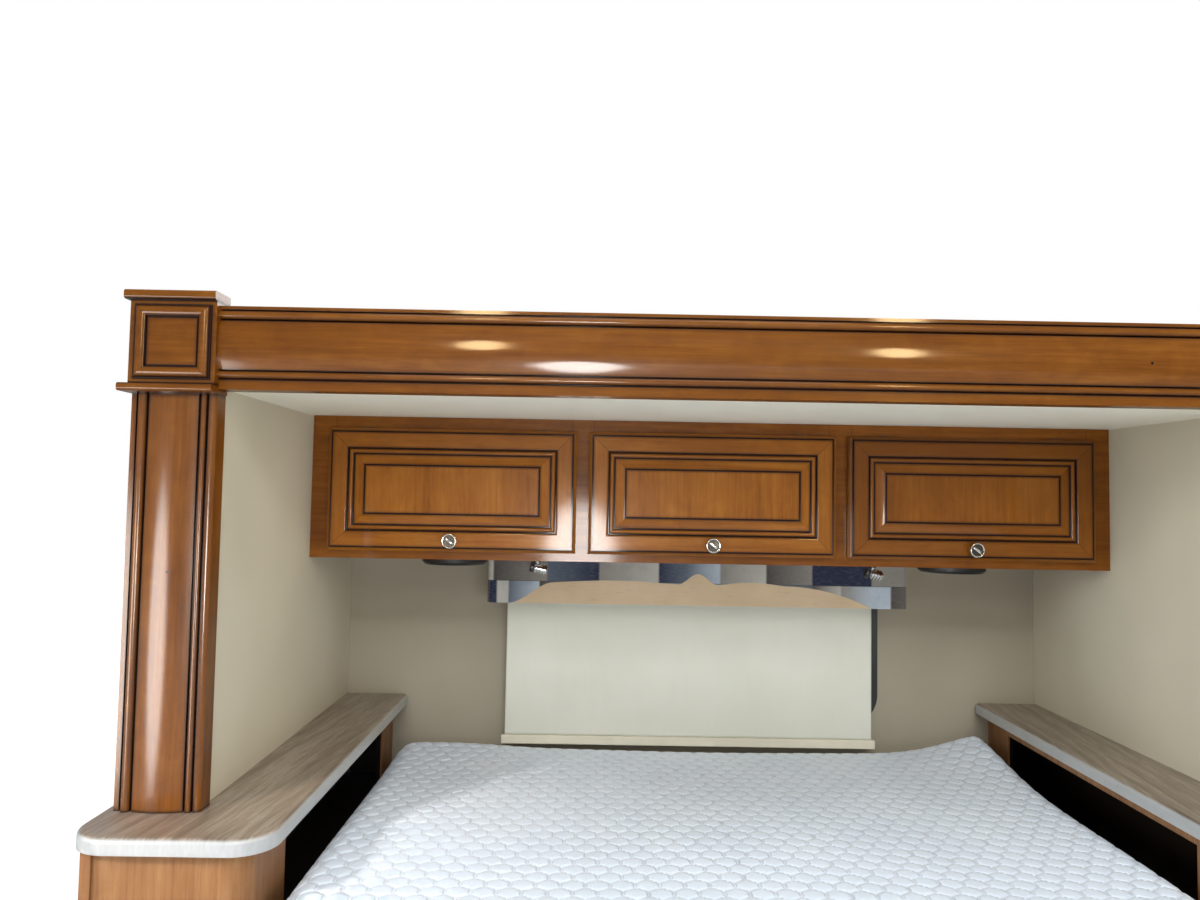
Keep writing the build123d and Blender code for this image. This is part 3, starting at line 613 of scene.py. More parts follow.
def blind_finish():
    """Coated blind cloth: cream, with a fine weave and faint upright slubs."""
    finish = Finish("blind_cloth", Specular_IOR_Level=0.3, Sheen_Weight=0.1)
    threads = weave(finish.x, finish.z, 0.0011)
    slub = finish.noise(finish.vector(finish.x * 240.0, finish.z * 9.0, finish.y), 1.0, 3.0)
    colour = finish.clouded(5.0, (0.705, 0.693, 0.585), (0.748, 0.735, 0.628), 2.0)
    colour = finish.mix(slub.rise(0.55, 0.75) * 0.18, colour, (0.64, 0.62, 0.50))
    return finish.done(colour, 0.72 + slub * 0.1, threads * 0.5 + slub, 0.00025, 0.5)


def pelmet_finish():
    """The padded board's cover: plain woven peach-tan cloth."""
    finish = Finish("pelmet_cloth", Specular_IOR_Level=0.25, Sheen_Weight=0.2)
    threads = weave(finish.x, finish.z, 0.0013)
    place = finish.vector(finish.x * 30.0, finish.z * 260.0, finish.y * 30.0)
    slub = finish.noise(place, 1.0, 3.0)
    colour = finish.clouded(8.0, (0.720, 0.543, 0.338), (0.800, 0.610, 0.398), 2.0)
    colour = finish.mix(slub.rise(0.55, 0.75) * 0.25, colour, (0.46, 0.33, 0.20))
    return finish.done(colour, 0.82 + slub * 0.1, threads + slub * 0.6, 0.0004, 0.6)


NAVY = (0.020, 0.027, 0.068)
SLATE = (0.130, 0.160, 0.205)
UMBER = (0.085, 0.070, 0.062)
STONE = (0.330, 0.305, 0.265)
CREAM = (0.600, 0.580, 0.515)
ICE = (0.560, 0.635, 0.710)

# The valance's patches from left to right: each one's right end, in metres from the
# valance's middle, and the two colours that its wash runs between
UPPER_PATCHES = (
    (-0.500, STONE, CREAM),
    (-0.370, UMBER, STONE),
    (-0.243, SLATE, NAVY),
    (-0.096, STONE, CREAM),
    (-0.030, NAVY, SLATE),
    (0.053, SLATE, ICE),
    (0.167, STONE, CREAM),
    (0.279, UMBER, STONE),
    (0.426, NAVY, NAVY),
    (0.600, STONE, STONE),
)
LOWER_PATCHES = (
    (-0.488, NAVY, NAVY),
    (-0.461, CREAM, CREAM),
    (-0.386, SLATE, ICE),
    (-0.250, UMBER, CREAM),
    (0.279, CREAM, SLATE),
    (0.350, UMBER, CREAM),
    (0.426, STONE, ICE),
    (0.470, ICE, ICE),
    (0.600, UMBER, STONE),
)
PATCH_REACH = 0.600
PATCH_SEAM = 0.063


def patch_stops(patches):
    """The stops of a colour ramp over the valance's width, two for each patch."""
    stops = []
    left = -PATCH_REACH
    for right, first, last in patches:
        stops.append(((left + PATCH_REACH) / (2 * PATCH_REACH) + 0.0004, first))
        stops.append(((right + PATCH_REACH) / (2 * PATCH_REACH) - 0.0004, last))
        left = right
    return stops


def valance_finish():
    """Patchwork cloth. Its UV is in metres along from the middle and up from the top, both
    with one metre added; two rows of patches meet in a seam."""
    finish = Finish("valance_cloth", Specular_IOR_Level=0.25, Sheen_Weight=0.15)
    along, up = finish.along_cloth()
    share = (along - (1.0 - PATCH_REACH)) / (2 * PATCH_REACH)
    upper = finish.ramp(share, patch_stops(UPPER_PATCHES))
    lower = finish.ramp(share, patch_stops(LOWER_PATCHES))
    colour = finish.mix(up.under(1.0 - PATCH_SEAM), upper, lower)
    brushed = finish.noise(finish.vector(along * 60.0, up * 520.0, 0.0), 1.0, 4.0, 0.65)
    slub = finish.noise(finish.vector(along * 620.0, up * 50.0, 3.0), 1.0, 3.0, 0.6)
    wash = finish.noise(finish.vector(along * 26.0, up * 26.0, 0.0), 1.0, 3.0)
    colour = finish.mix(brushed.rise(0.48, 0.75) * 0.22, colour, (0.50, 0.49, 0.46))
    colour = finish.mix(slub.rise(0.52, 0.75) * 0.22, colour, (0.10, 0.10, 0.12))
    colour = finish.mix(wash.rise(0.5, 0.8) * 0.25, colour, (0.13, 0.14, 0.17))
    seam = up.near(1.0 - PATCH_SEAM, 0.0003, 0.0012)
    colour = finish.mix(seam * 0.6, colour, (0.05, 0.05, 0.06))
    threads = weave(along, up, 0.0012)
    return finish.done(colour, 0.8 + brushed * 0.1, threads + brushed - seam * 3.0, 0.0004, 0.6)


CELL_WIDTH = 0.040
CELL_ROW = 0.031


def cell_sides(near_x, near_y):
    """From a point's distances to the middles of the nearest cell of one set of rows: its
    distance across to the other set's middle, its squared distances from both middles,
    and its distance from the slanted seam half-way between them."""
    far_x = CELL_WIDTH / 2 - near_x
    far_y = CELL_ROW - near_y
    first = near_x * near_x + near_y * near_y
    second = far_x * far_x + far_y * far_y
    slant = abs(first - second) / (2 * math.hypot(CELL_WIDTH / 2, CELL_ROW))
    return far_x, first, second, slant


def quilt_finish():
    """White knit: fine ribs, with painted shade in the seams between the quilted cells and
    along the dips of their stitch lines. Its UV is in metres along the cover, so the lines follow
    the cells of the mesh."""
    finish = Finish("quilted_knit", Specular_IOR_Level=0.25, Sheen_Weight=0.35)
    along, up = finish.along_cloth()
    near_x = along.every(CELL_WIDTH)
    far_x, first, second, slant = cell_sides(near_x, up.every(2 * CELL_ROW))
    nearest = finish.choose(first.under(second), far_x, near_x)
    upright = CELL_WIDTH / 2 - nearest
    edge = slant.least(upright)
    seam = 1.0 - slant.rise(0.0004, 0.0026)
    stitch = 1.0 - abs(upright - 0.0026).rise(0.0005, 0.0013)
    stitch = stitch * upright.under(slant) * up.sine(0.0022).rise(-0.6, 0.2)
    knit = along.ribs(0.0011) * 0.6 + up.ribs(0.0016) * 0.4
    colour = finish.clouded(6.0, (0.760, 0.830, 0.910), (0.810, 0.875, 0.945))
    # Painted shade in the creases of the seams and in the dips of the stitch lines
    colour = finish.mix(seam * 0.35, colour, (0.46, 0.47, 0.50))
    colour = finish.mix(stitch * 0.60, colour, (0.34, 0.33, 0.35))
    height = edge.rise(0.0, 0.006) * 2.6 + knit * 0.40 - stitch * 1.6
    return finish.done(colour, 0.85 + knit * 0.08, height, 0.0007, 0.8)


def border_finish():
    """The mattress's side band: white knit with fine ribs and rows."""
    finish = Finish("border_knit", Specular_IOR_Level=0.25, Sheen_Weight=0.15)
    along, up = finish.along_cloth()
    ribs = along.ribs(0.0012)
    rows = up.ribs(0.0020)
    colour = finish.clouded(6.0, (0.545, 0.555, 0.570), (0.600, 0.610, 0.625))
    return finish.done(colour, 0.86 + ribs * 0.08, ribs * 0.6 + rows * 0.4, 0.0004, 0.6)


# Meshes

def link(thing):
    """Put an object in the scene."""
    bpy.context.scene.collection.objects.link(thing)
    return thing


def stack(*parts):
    """Grids of single numbers as one grid of tuples."""
    return np.stack(parts, axis=-1)


def surface(name, points, material, uv=None, closed=False, smooth=60.0, flip=False):
    """A grid of points, rows by columns, as quads. A closed one joins its last column
    to its first. uv has two numbers a point, and smooth is the angle in degrees below
    which the faces are shaded as one."""
    rows, columns = points.shape[:2]
    index = np.arange(rows * columns).reshape(rows, columns)
    if closed:
        index = np.hstack([index, index[:, :1]])
    around = (index[:-1, :-1], index[:-1, 1:], index[1:, 1:], index[1:, :-1])
    quads = stack(*around).reshape(-1, 4)
    if flip:
        quads = quads[:, ::-1]
    mesh = bpy.data.meshes.new(name)
    mesh.from_pydata(points.reshape(-1, 3).tolist(), [], quads.tolist())
    if uv is not None:
        layer = mesh.uv_layers.new(name="along")
        looped = uv.reshape(-1, 2)[quads.reshape(-1)]
        layer.data.foreach_set("uv", looped.astype(np.float32).reshape(-1))
    mesh.materials.append(material)
    mesh.polygons.foreach_set("use_smooth", np.ones(len(mesh.polygons), dtype=bool))
    mesh.update()
    mesh.set_sharp_from_angle(angle=math.radians(smooth))
    return link(bpy.data.objects.new(mesh.name, mesh))


def thicken(cloth, thickness):
    """Give a cloth its thickness, half of it to each side."""
    added = cloth.modifiers.new("solidify", "SOLIDIFY")
    added.thickness = thickness
    added.offset = 0.0


def lerp(low, high, share):
    return low + (high - low) * share


def cell_puff(along, up):
    """The height of the quilted cover, 0 in the seams and 1 on the cells. The seams are
    half-way between the middles of neighbouring cells, laid like bricks in rows."""
    near_x = np.abs(along - np.round(along / CELL_WIDTH) * CELL_WIDTH)
    near_y = np.abs(up - np.round(up / (2 * CELL_ROW)) * 2 * CELL_ROW)
    far_x, first, second, slant = cell_sides(near_x, near_y)
    upright = CELL_WIDTH / 2 - np.where(first < second, near_x, far_x)
    edge = np.minimum(slant, upright)
    share = np.clip(edge / 0.0085, 0.0, 1.0)
    return np.sqrt(share * (2.0 - share))


# The mattress's cover: the rounding of its edges, how far its cells stand out, the cord's
# radius, and how far the cover stays inside the model's box
BED_ROUND = 0.050
PUFF = 0.0045
PIPING = 0.0035
COVER_INSET = 0.004
cover_half = np.subtract(bed_high, bed_low)[:2] / 2 - COVER_INSET
cover_centre = np.add(bed_high, bed_low)[:2] / 2
round_low = bed_high[2] - COVER_INSET - BED_ROUND


def bed_lift(x, y):
    """How far the top stands off its flat: a low crown, a curled far right corner, a hump
    at the far left, a dent between them, a roll along both sides and a faint wave."""
    half = (bed_high[0] - bed_low[0]) / 2

    def swell(height, middle, wide, deep):
        """A bell-shaped swell at the far edge."""
        return height * np.exp(-((x - middle) / wide) ** 2 - ((y - bed_high[1]) / deep) ** 2)

    crown = 0.006 * (1.0 - (x / half) ** 2)
    curl = swell(0.052, half, 0.16, 0.24)
    hump = swell(0.014, -half * 0.8, 0.16, 0.14)
    dent = swell(-0.007, 0.0, 0.42, 0.10)
    roll = 0.006 * np.exp(-((half - np.abs(x)) / 0.10) ** 2)
    wave = 0.0025 * np.sin(x * 9.0 + 1.0) * np.sin(y * 6.5)
    return crown + curl + hump + roll + dent + wave


def mattress_top(material):
    """The quilted top: a flat cover wrapped over rounded edges. Each point goes along
    the flat as far as the rounding starts, and then a quarter turn down; the cells
    stand out along the surface's normal and fade towards the piping."""
    flat_half = cover_half - BED_ROUND
    arc = BED_ROUND * math.pi / 2
    reach = flat_half + arc
    columns = int(2 * reach[0] / (CELL_WIDTH / 6.75)) + 1
    rows = int(2 * reach[1] / (CELL_ROW / 6)) + 1
    flat_x, flat_y = np.meshgrid(
        np.linspace(-reach[0], reach[0], columns), np.linspace(-reach[1], reach[1], rows)
    )
    flat = stack(flat_x, flat_y)
    core = np.clip(flat, -flat_half, flat_half)
    past = flat - core
    length = np.linalg.norm(past, axis=-1, keepdims=True)
    way = past / np.maximum(length, 1e-9)
    turn = np.abs(past).max(axis=-1, keepdims=True) / BED_ROUND
    puff = PUFF * cell_puff(flat_x, flat_y)[..., None]
    fade = np.clip((arc - turn * BED_ROUND) / 0.02, 0.0, 1.0)
    radius = BED_ROUND + puff * fade
    side = core + way * radius * np.sin(turn)
    height = round_low + radius[..., 0] * np.cos(turn[..., 0])
    x = side[..., 0] + cover_centre[0]
    y = side[..., 1] + cover_centre[1]
    lift = bed_lift(x, y) * np.cos(turn[..., 0]) ** 0.5
    points = stack(x, y, height + lift)
    return surface("mattress_top", points, material, uv=flat, smooth=80.0)


def bed_outline():
    """The mattress's outline about its centre, anticlockwise, as points and outward
    directions: quarter turns, and straight runs between them with a point each 20 mm."""
    turns = np.linspace(0.0, math.pi / 2, 8)
    path = []
    for quarter, signs in enumerate(((1, 1), (-1, 1), (-1, -1), (1, -1))):
        angle = turns + quarter * math.pi / 2
        way = stack(np.cos(angle), np.sin(angle))
        corner = np.multiply(signs, cover_half - BED_ROUND)
        path.append(np.hstack([corner + way * BED_ROUND, way]))
    path = np.concatenate(path)
    dense = []
    for here, following in zip(path, np.roll(path, -1, axis=0)):
        gap = np.linalg.norm(following[:2] - here[:2])
        count = max(1, int(round(gap / 0.02)))
        dense.append(lerp(here, following, (np.arange(count) / count)[:, None]))
    points, ways = np.split(np.concatenate(dense), 2, axis=1)
    return points, ways / np.linalg.norm(ways, axis=-1, keepdims=True)


def mattress_border(material):
    """The side band and the underside: a profile carried round the bed's outline. The
    band swells three times, with channels between, and closes on a flat bottom."""
    points, ways = bed_outline()
    low = bed_low[2] + 0.001
    share = np.linspace(0.0, 1.0, 37)
    swell = 0.004 * np.abs(np.sin(share * math.pi * 3)) ** 0.7 - 0.001
    heights = np.append(lerp(round_low, low + 0.012, share), [low, low, low])
    out = np.append(swell, [-0.010, -0.05, -cover_half[0] + 0.06])
    ring = points[None] + ways[None] * out[:, None, None]
    ring[-1] = np.clip(points, -0.01, 0.01)
    upward = np.broadcast_to(heights[:, None, None], ring.shape[:2] + (1,))
    grid = np.concatenate([ring + cover_centre, upward], axis=-1)
    run = np.cumsum(np.linalg.norm(np.diff(points, axis=0), axis=-1))
    run = np.concatenate([[0.0], run])
    uv = stack(*np.broadcast_arrays(run[None], heights[:, None]))
    fade = np.clip((heights - low) / (round_low - low), 0.0, 1.0)[:, None] ** 2
    grid[..., 2] += bed_lift(grid[..., 0], grid[..., 1]) * fade
    return surface("mattress_border", grid, material, uv=uv, closed=True, flip=True)


def mattress_piping(material):
    """The cord in the seam: a small circle carried round the bed's outline."""
    points, ways = bed_outline()
    angle = np.linspace(0.0, 2 * math.pi, 10, endpoint=False)
    out = PIPING * np.cos(angle)
    grid = np.zeros((len(points), len(angle), 3))
    grid[..., :2] = points[:, None] + ways[:, None] * out[None, :, None] + cover_centre
    grid[..., 2] = round_low + PIPING * np.sin(angle)[None]
    grid[..., 2] += bed_lift(grid[..., 0], grid[..., 1])
    grid = np.concatenate([grid, grid[:1]])
    return surface("mattress_piping", grid, material, closed=True)


def make_mattress():
    """The mattress's cover in three pieces, in place of its plain solid."""
    border = border_finish()
    top = mattress_top(quilt_finish())
    for piece in (top, mattress_border(border), mattress_piping(border)):
        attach(piece, BODY)
        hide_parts("mattress")


def turned(profile, steps=64):
    """A turned shape about Z: each profile point, a radius and a height, goes round it."""
    radius, height = np.array(profile).T
    angle = np.linspace(0.0, 2 * math.pi, steps, endpoint=False)
    x = radius[:, None] * np.cos(angle)
    y = radius[:, None] * np.sin(angle)
    return stack(x, y, np.broadcast_to(height[:, None], x.shape))


def smooth_profile(points, rounds=3):
    """A profile with its corners cut: each round puts two points on each stretch."""
    line = np.array(points, float)
    for _ in range(rounds):
        near = lerp(line[:-1], line[1:], 0.2)
        far = lerp(line[:-1], line[1:], 0.8)
        middle = np.stack([near, far], axis=1).reshape(-1, 2)
        line = np.concatenate([line[:1], middle, line[-1:]])
    return line


def pill(length, width, height):
    """A low rounded bar on XY: rings of a stadium outline that shrink towards its top as
    a quarter circle, closed at the top and the bottom."""
    angle = np.linspace(0.0, 2 * math.pi, 40, endpoint=False)
    rise = np.concatenate([[0.0], np.linspace(0.0, math.pi / 2, 7)])
    inset = np.concatenate([[1.0], 1.0 - np.cos(rise[1:])]) * width / 2
    inset = np.minimum(inset, width / 2 - 0.00001)
    half = length / 2 - width / 2
    radius = (width / 2 - inset)[:, None]
    x = np.sign(np.cos(angle))[None] * half * (radius > 0.0001) + radius * np.cos(angle)
    y = radius * np.sin(angle)
    z = (np.sin(rise) * height)[:, None] + np.zeros_like(x)
    return stack(x, y, z)


# A knob's profiles, in shares of its radius and its length, and its bar: its length and
# width in shares of the radius, its height in shares of the length, and its turn
KNOB_SHELL = (
    (0.0, 0.0), (0.62, 0.0), (0.60, 0.10), (0.36, 0.22), (0.36, 0.45), (0.80, 0.60),
    (1.0, 0.72), (1.0, 0.90), (0.92, 0.97), (0.80, 0.96), (0.74, 0.80),
)
KNOB_DISH = ((0.745, 0.80), (0.74, 0.775), (0.0, 0.76))
KNOB_BAR = (1.36, 0.46, 0.17)
KNOB_TURN = math.radians(-38.0)


def chrome_parts(parts, name, body, node, smooth):
    """Surfaces that ride with a body and stand for a node, from labels, points and finishes."""
    for label, points, finish in parts:
        piece = surface(label + name, points, finish, closed=True, smooth=smooth)
        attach(piece, body)
        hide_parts(node)


def make_knobs():
    """Each knob is turned, with a foot, a waist, a rounded rim and a dark dish, and has
    an oval bar across its dish."""
    centre = np.add(knob_low, knob_high) / 2
    radius = (knob_high[0] - knob_low[0]) / 2
    length = knob_high[1] - knob_low[1]
    shell = smooth_profile(np.multiply(KNOB_SHELL, (radius, length)))
    dish = np.multiply(KNOB_DISH, (radius, length))
    bar = pill(*np.multiply(KNOB_BAR, (radius, radius, length)))
    cos, sin = math.cos(KNOB_TURN), math.sin(KNOB_TURN)
    spin = np.array([[cos, -sin, 0.0], [sin, cos, 0.0], [0.0, 0.0, 1.0]])
    bar = bar @ spin.T + (0.0, 0.0, length * 0.77)
    stand = np.array([[1.0, 0.0, 0.0], [0.0, 0.0, 1.0], [0.0, -1.0, 0.0]])
    dark_chrome = metal_finish("aged_chrome", (0.10, 0.09, 0.075), 0.25)
    for index, name in enumerate(DOOR_NAMES):
        place = (centre[0] + (index - 1) * door_pitch, knob_high[1], centre[2])
        parts = (
            ("knob_shell_", turned(shell) @ stand + place, chrome),
            ("knob_dish_", turned(dish) @ stand + place, dark_chrome),
            ("knob_bar_", bar @ stand + place, chrome),
        )
        chrome_parts(parts, name, "door_" + name, "knob_" + name, 50.0)


# A reading lamp's profiles, each a radius and a height: its foot, its cap, and one ring
# of its head from the ring's start
LAMP_FOOT = (
    (0.0, 0.0), (0.018, 0.0), (0.018, 0.004), (0.008, 0.007), (0.005, 0.016), (0.0, 0.017)
)
LAMP_CAP = ((0.0, 0.0), (0.0105, 0.0), (0.0125, 0.004), (0.0125, 0.011), (0.0, 0.012))
LAMP_RING = ((0.0092, 0.0), (0.0118, 0.0008), (0.0118, 0.0036), (0.0092, 0.0044))
LAMP_TILT = math.radians(14.0)


def make_lamps():
    """Each reading lamp: a foot under the cabinet, a neck, a dark cap and a head with
    rings turned on it, which tilts a little down to the right."""
    low, high = corners("reading_lamps")
    reach = (high[0] - low[0]) / 2 - 0.022
    middle = (high[0] + low[0]) / 2
    depth = (high[1] + low[1]) / 2
    foot = turned(smooth_profile(LAMP_FOOT, 2), 48)
    cap = turned(smooth_profile(LAMP_CAP, 2), 48)
    rings = [(0.0, 0.0), (0.009, 0.0)]
    for step in range(4):
        start = 0.003 + step * 0.0065
        rings += [(radius, start + place) for radius, place in LAMP_RING]
    rings += [(0.0085, 0.030), (0.0070, 0.029), (0.0, 0.028)]
    barrel = turned(rings, 48) + (0.0, 0.0, 0.010)
    cos, sin = math.cos(LAMP_TILT), math.sin(LAMP_TILT)
    along = np.array([[0.0, 0.0, -1.0], [0.0, 1.0, 0.0], [1.0, 0.0, 0.0]])
    tilt = np.array([[cos, 0.0, -sin], [0.0, 1.0, 0.0], [sin, 0.0, cos]])
    down = np.diag([1.0, -1.0, -1.0])
    head_z = low[2] + 0.0135
    for name, side in (("left", -1), ("right", 1)):
        place = np.array([middle + side * reach, depth, high[2]])
        head = np.array([place[0] - 0.017, depth, head_z + 0.003])
        parts = (
            ("lamp_foot_", foot @ down + place, chrome),
            ("lamp_head_", barrel @ along @ tilt + head, chrome),
            ("lamp_cap_", cap @ along @ tilt + head, black_paint),
        )
        chrome_parts(parts, name, BODY, "reading_lamps", 40.0)


def make_blind():
    """The blind's cloth: a sheet that hangs from the roller, with faint upright ripples,
    deepest half-way down: a sum of sines of the width, times a sine of the drop."""
    across, down = np.meshgrid(np.linspace(0.0, 1.0, 241), np.linspace(0.0, 1.0, 61))
    ripple = np.sin(across * 61.0) + 0.6 * np.sin(across * 143.0 + 1.3)
    ripple += 0.8 * np.sin(across * 23.0 + 0.4)
    depth = 0.00022 * ripple * np.sin(down * math.pi * 0.9)
    x = lerp(cloth_low[0], cloth_high[0], across)
    y = (cloth_low[1] + cloth_high[1]) / 2 + depth
    points = stack(x, y, lerp(cloth_high[2], cloth_low[2], down))
    cloth = surface("blind_cloth", points, blind_finish(), uv=points[..., ::2])
    thicken(cloth, 0.0008)
    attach(cloth, BODY)
    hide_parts("blind_fabric")


# The valance's outline: its full ends and the slants beside them, left and right, and the
# notch in its middle: half its width and its rise, the middle's drop and its bow
VALANCE_ENDS = (0.050, 0.086)
VALANCE_SLANTS = (0.110, 0.215)
VALANCE_NOTCH = 0.050
VALANCE_RISE = 0.026
VALANCE_MIDDLE = 0.066
VALANCE_BOW = 0.007


def valance_edge(along, front, drop):
    """The valance's drop at each place along it: full at both ends, then a slant up, an
    S on the left and a hollow one on the right, to a middle that bows up a little as a
    sine on each side of a bell-shaped notch, a raised cosine."""
    left = (along + front / 2 - VALANCE_ENDS[0]) / VALANCE_SLANTS[0]
    right = (front / 2 - along - VALANCE_ENDS[1]) / VALANCE_SLANTS[1]
    share = np.clip(np.minimum(left, right), 0.0, 1.0)
    share = np.where(left < right, share * share * (3.0 - 2.0 * share), share * (2.0 - share))
    notch = np.clip(np.abs(along) / VALANCE_NOTCH, 0.0, 1.0)
    bell = VALANCE_RISE * (1.0 + np.cos(notch * math.pi)) / 2
    ends = np.where(along < 0, *np.add(VALANCE_ENDS, VALANCE_SLANTS))
    swag = (np.abs(along) - VALANCE_NOTCH) / (front / 2 - ends - VALANCE_NOTCH)
    bow = VALANCE_BOW * np.sin(np.clip(swag, 0.0, 1.0) * math.pi)
    return lerp(drop, VALANCE_MIDDLE - bell - bow, share)


def make_valance():
    """The patchwork cloth over the pelmet: a strip led round its two corners, its lower
    edge scalloped, with soft puckers."""
    front = valance_high[0] - valance_low[0] - 0.003
    side = valance_high[1] - valance_low[1] - 0.002
    total = front + 2 * side
    high = valance_high[2]
    drop = high - valance_low[2]
    along, down = np.meshgrid(np.linspace(-total / 2, total / 2, 586), np.linspace(0.0, 1.0, 33))
    bend = 0.012
    half = front / 2
    past = np.clip(np.abs(along) - (half - bend), 0.0, None)
    turn = np.clip(past / (bend * math.pi / 2), 0.0, 1.0) * math.pi / 2
    straight = np.clip(past - bend * math.pi / 2, 0.0, None)
    x = np.sign(along) * (np.minimum(np.abs(along), half - bend) + bend * np.sin(turn))
    y = valance_low[1] + 0.0015 + bend * (1.0 - np.cos(turn)) + straight
    edge = valance_edge(along, front, drop)
    z = high - down * edge
    puckers = 0.0010 * np.sin(along * 74.0) * np.sin(down * math.pi * 2 + along * 5.0)
    centre = (valance_low[0] + valance_high[0]) / 2
    points = stack(x + centre, y - puckers - 0.0005 * np.cos(turn), z)
    uv = stack(along + 1.0, z - high + 1.0)
    cloth = surface("valance_cloth", points, valance_finish(), uv=uv)
    thicken(cloth, 0.0018)
    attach(cloth, BODY)
    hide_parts("valance")


# Stage

FLOOR_HALF = 20.0
FADE_FROM, FADE_TO = 2.2, 5.0
WORLD_LIGHT = 0.38


def floor_stage():
    """A plain pale floor that keeps shadows near the object and fades into the white
    background farther off, for the camera only."""
    mesh = bpy.data.meshes.new("floor")
    spots = [(x * FLOOR_HALF, y * FLOOR_HALF, 0) for x, y in ((-1, -1), (1, -1), (1, 1), (-1, 1))]
    mesh.from_pydata(spots, [], [(0, 1, 2, 3)])
    floor = link(bpy.data.objects.new("floor", mesh))
    finish = Finish("pale_floor", Roughness=0.9, Specular_IOR_Level=0.1, Emission_Strength=1.0)
    finish.shader.inputs["Base Color"].default_value = (0.80, 0.80, 0.79, 1.0)
    away = (finish.x * finish.x + finish.y * finish.y).math("SQRT")
    seen = finish.node("ShaderNodeLightPath", out="Is Camera Ray")
    glow = seen * (0.30 + away.rise(FADE_FROM, FADE_TO) * 0.70)
    finish.paint(Emission_Color=finish.vector(glow, glow, glow))
    mesh.materials.append(finish.material)


def world_stage():
    """A soft even light, and plain white where the camera sees past the object."""
    world = bpy.data.worlds.new("studio")
    world.use_nodes = True
    world.node_tree.nodes.clear()
    kit = Kit(world.node_tree)
    seen = kit.node("ShaderNodeLightPath", out="Is Camera Ray")
    seen = seen.most(kit.node("ShaderNodeLightPath", out="Is Transmission Ray"))
    light = kit.node("ShaderNodeBackground", {0: (0.97, 0.98, 1.0, 1.0), 1: WORLD_LIGHT})
    white = kit.node("ShaderNodeBackground", {0: (1.0, 1.0, 1.0, 1.0)})
    mixed = kit.node("ShaderNodeMixShader", {0: seen, 1: light, 2: white})
    output = kit.tree.nodes.new("ShaderNodeOutputWorld")
    kit.tree.links.new(mixed.socket, output.inputs[0])
    bpy.context.scene.world = world


COOL = (0.90, 0.955, 1.0)
WARM = (1.0, 0.93, 0.82)
PLAIN = (1.0, 0.985, 0.96)
AMBER = (1.0, 0.74, 0.38)

# A lamp lights surfaces, shows as a gloss on them, or does both
FILL, GLOSS, BOTH = (True, False), (False, True), (True, True)

# The narrow beam's spread, in radians
BEAM_SPREAD = 0.2

# Each lamp's place, what it faces, its width and height in metres, power, colour and use
LAMPS = {
    "front_low": ((1.4, -9.0, 0.45), (0.0, -0.4, 1.25), 5.0, 0.9, 165.0, COOL, FILL),
    "front_high": ((-0.6, -11.0, 4.4), (0.0, -0.4, 1.20), 5.6, 1.1, 70.0, PLAIN, FILL),
    "front_steep": ((0.1, -6.8, 5.0), (0.0, -0.8, 0.9), 4.2, 1.2, 238.0, COOL, FILL),
    "front_glow": ((-0.315, -2.42, 1.16), (-0.28, -0.9, 1.62), 0.30, 0.44, 17.0, PLAIN, GLOSS),
    "overhead": ((-0.2, -2.4, 5.2), (-0.2, -1.3, 0.8), 2.8, 2.2, 70.0, COOL, BOTH),
    "side_left": ((-10.0, -4.6, 2.7), (0.875, -0.45, 1.15), 3.4, 3.0, 400.0, COOL, FILL),
    "side_right": ((10.0, -4.6, 2.7), (-0.875, -0.45, 1.15), 3.4, 3.0, 262.0, WARM, FILL),
    "window_left": ((-2.00, -2.47, 0.90), (-0.93, -0.90, 1.10), 0.92, 1.0, 32.0, PLAIN, GLOSS),
    "window_beam": ((-3.0, -3.8, 3.4), (-0.96, -1.0, 0.94), 0.5, 0.5, 0.95, PLAIN, FILL),
    "puck_left": ((-0.63, -2.3, 2.02), (-0.5, -0.9, 1.5), 0.15, 0.42, 9.0, AMBER, GLOSS),
    "puck_right": ((0.72, -2.3, 2.02), (0.5, -0.9, 1.5), 0.15, 0.42, 9.0, AMBER, GLOSS),
    "behind": ((0.5, 3.4, 2.8), (0.0, 0.0, 0.9), 2.6, 2.0, 85.0, PLAIN, BOTH),
}


def light_stage():
    """The area lamps of the table above; the beam alone is narrow."""
    for name, (place, target, width, height, watts, colour, use) in LAMPS.items():
        light = bpy.data.lights.new(name, "AREA")
        light.shape = "ELLIPSE" if use == GLOSS else "RECTANGLE"
        light.size = width
        light.size_y = height
        light.energy = watts
        light.spread = BEAM_SPREAD if name == "window_beam" else math.pi
        light.color = colour
        lamp = link(bpy.data.objects.new(name, light))
        lamp.location = place
        lamp.visible_camera = False
        lamp.visible_diffuse, lamp.visible_glossy = use
        aim = Vector(target) - Vector(place)
        lamp.rotation_euler = aim.to_track_quat("-Z", "Y").to_euler()


# The photograph's camera: its place, its turn, climb and roll in radians, and the lens
EYE = (-0.2571, -2.3246, 1.400)
TURN, CLIMB, ROLL = -0.0055, 0.0525, 0.0177
LENS_PIXELS, FRAME_PIXELS, SENSOR = 901.0, 1200.0, 36.0


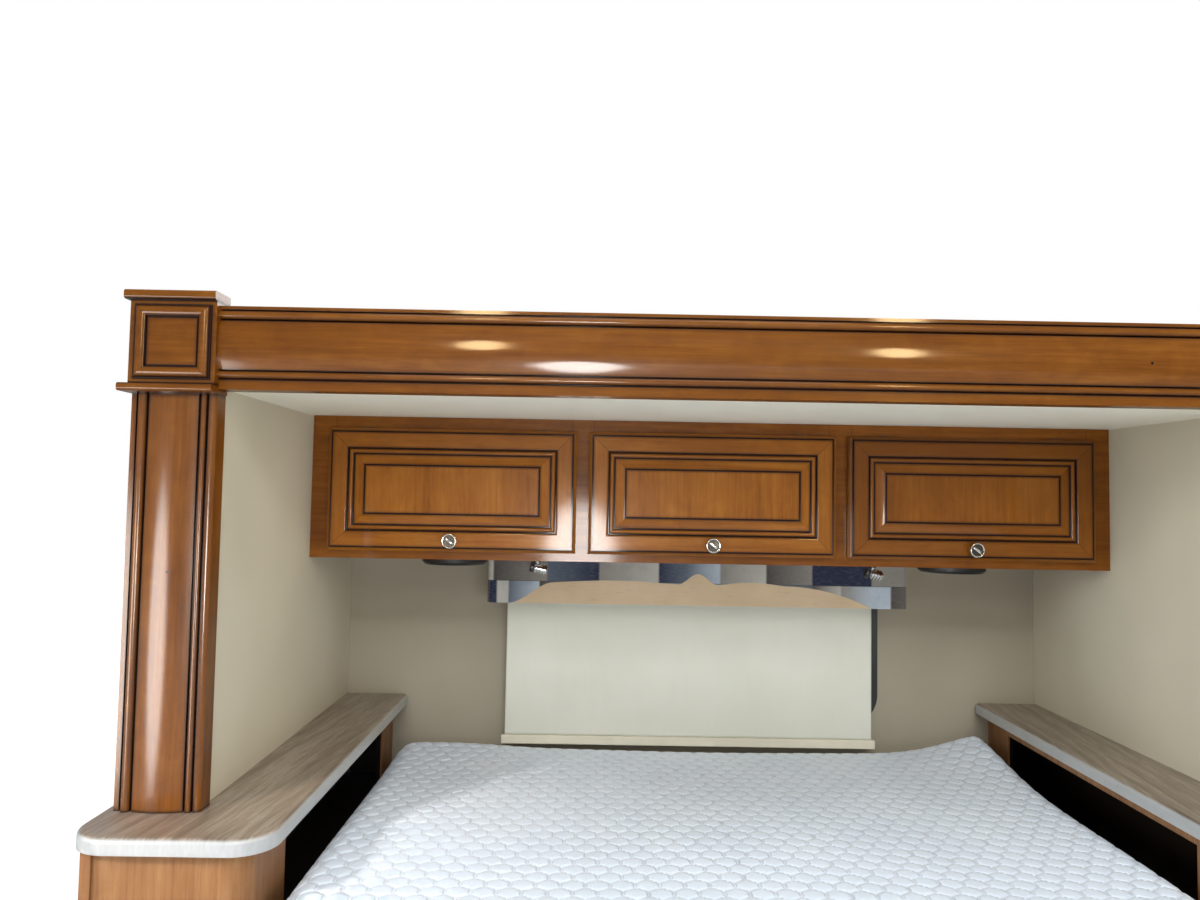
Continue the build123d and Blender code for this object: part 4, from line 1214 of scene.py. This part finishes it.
def make_camera():
    """The camera at the photograph's eye, turned, tilted and rolled as it was."""
    level_reach = math.cos(CLIMB)
    ahead = Vector(
        (-math.sin(TURN) * level_reach, math.cos(TURN) * level_reach, math.sin(CLIMB))
    )
    level = Vector((math.cos(TURN), math.sin(TURN), 0.0))
    upward = level.cross(ahead)
    right = level * math.cos(ROLL) + upward * math.sin(ROLL)
    up = upward * math.cos(ROLL) - level * math.sin(ROLL)
    data = bpy.data.cameras.new("camera")
    data.sensor_width = SENSOR
    data.lens = LENS_PIXELS / FRAME_PIXELS * SENSOR
    data.clip_start = 0.02
    camera = link(bpy.data.objects.new("camera", data))
    turn = Matrix((right, up, -ahead)).transposed().to_4x4()
    camera.matrix_world = Matrix.Translation(EYE) @ turn
    bpy.context.scene.camera = camera


def dress_model():
    """Every node that shows as it was modelled, with its finish."""
    steel = metal_finish("bronzed_steel", (0.115, 0.085, 0.060), 0.38)
    glide = moulded_finish("glide_plastic", (0.62, 0.61, 0.57), 0.5)
    gelcoat = moulded_finish("gel_coat", (0.74, 0.73, 0.69), 0.25, coat=0.5, spread=1.03)
    rubber = moulded_finish("seal_rubber", (0.022, 0.022, 0.023), 0.6, depth=0.0003)
    blind_metal = moulded_finish("bar_paint", (0.70, 0.64, 0.50), 0.35, coat=0.2)
    table = {
        **wood_finishes(),
        plywood_finish(): ["bed_deck"],
        panel_finish(): pair("side_wall") + ["outer_wall", "roof_panel"],
        floor_finish(): ["floor_panel"],
        laminate_finish(): pair("counter"),
        steel: ["cabinet_hinges"] + ["door_hinges_" + name for name in DOOR_NAMES],
        extruded_finish(): pair("wall_post") + ["wall_head"],
        rack_finish(): ["gear_racks"],
        glide: ["glide_bars", "bed_glides"],
        gelcoat: ["wall_flange"],
        rubber: ["flange_seal"],
        black_paint: ["window_frame"],
        glass_finish(): ["window_panes"],
        speaker_finish(): ["speakers"],
        pelmet_finish(): ["pelmet"],
        blind_metal: ["blind_roller", "blind_bar"],
    }
    for finish, names in table.items():
        for name in names:
            materials = nodes[name].data.materials
            materials.clear()
            materials.append(finish)


chrome = metal_finish("polished_chrome", (0.74, 0.73, 0.70), 0.08, polish=0.5)
black_paint = moulded_finish("black_paint", (0.018, 0.018, 0.019), 0.35, coat=0.2)
dress_model()
make_camera()
floor_stage()
world_stage()
light_stage()
make_mattress()
make_knobs()
make_lamps()
make_blind()
make_valance()
scene = bpy.context.scene
scene.view_settings.view_transform = "Standard"
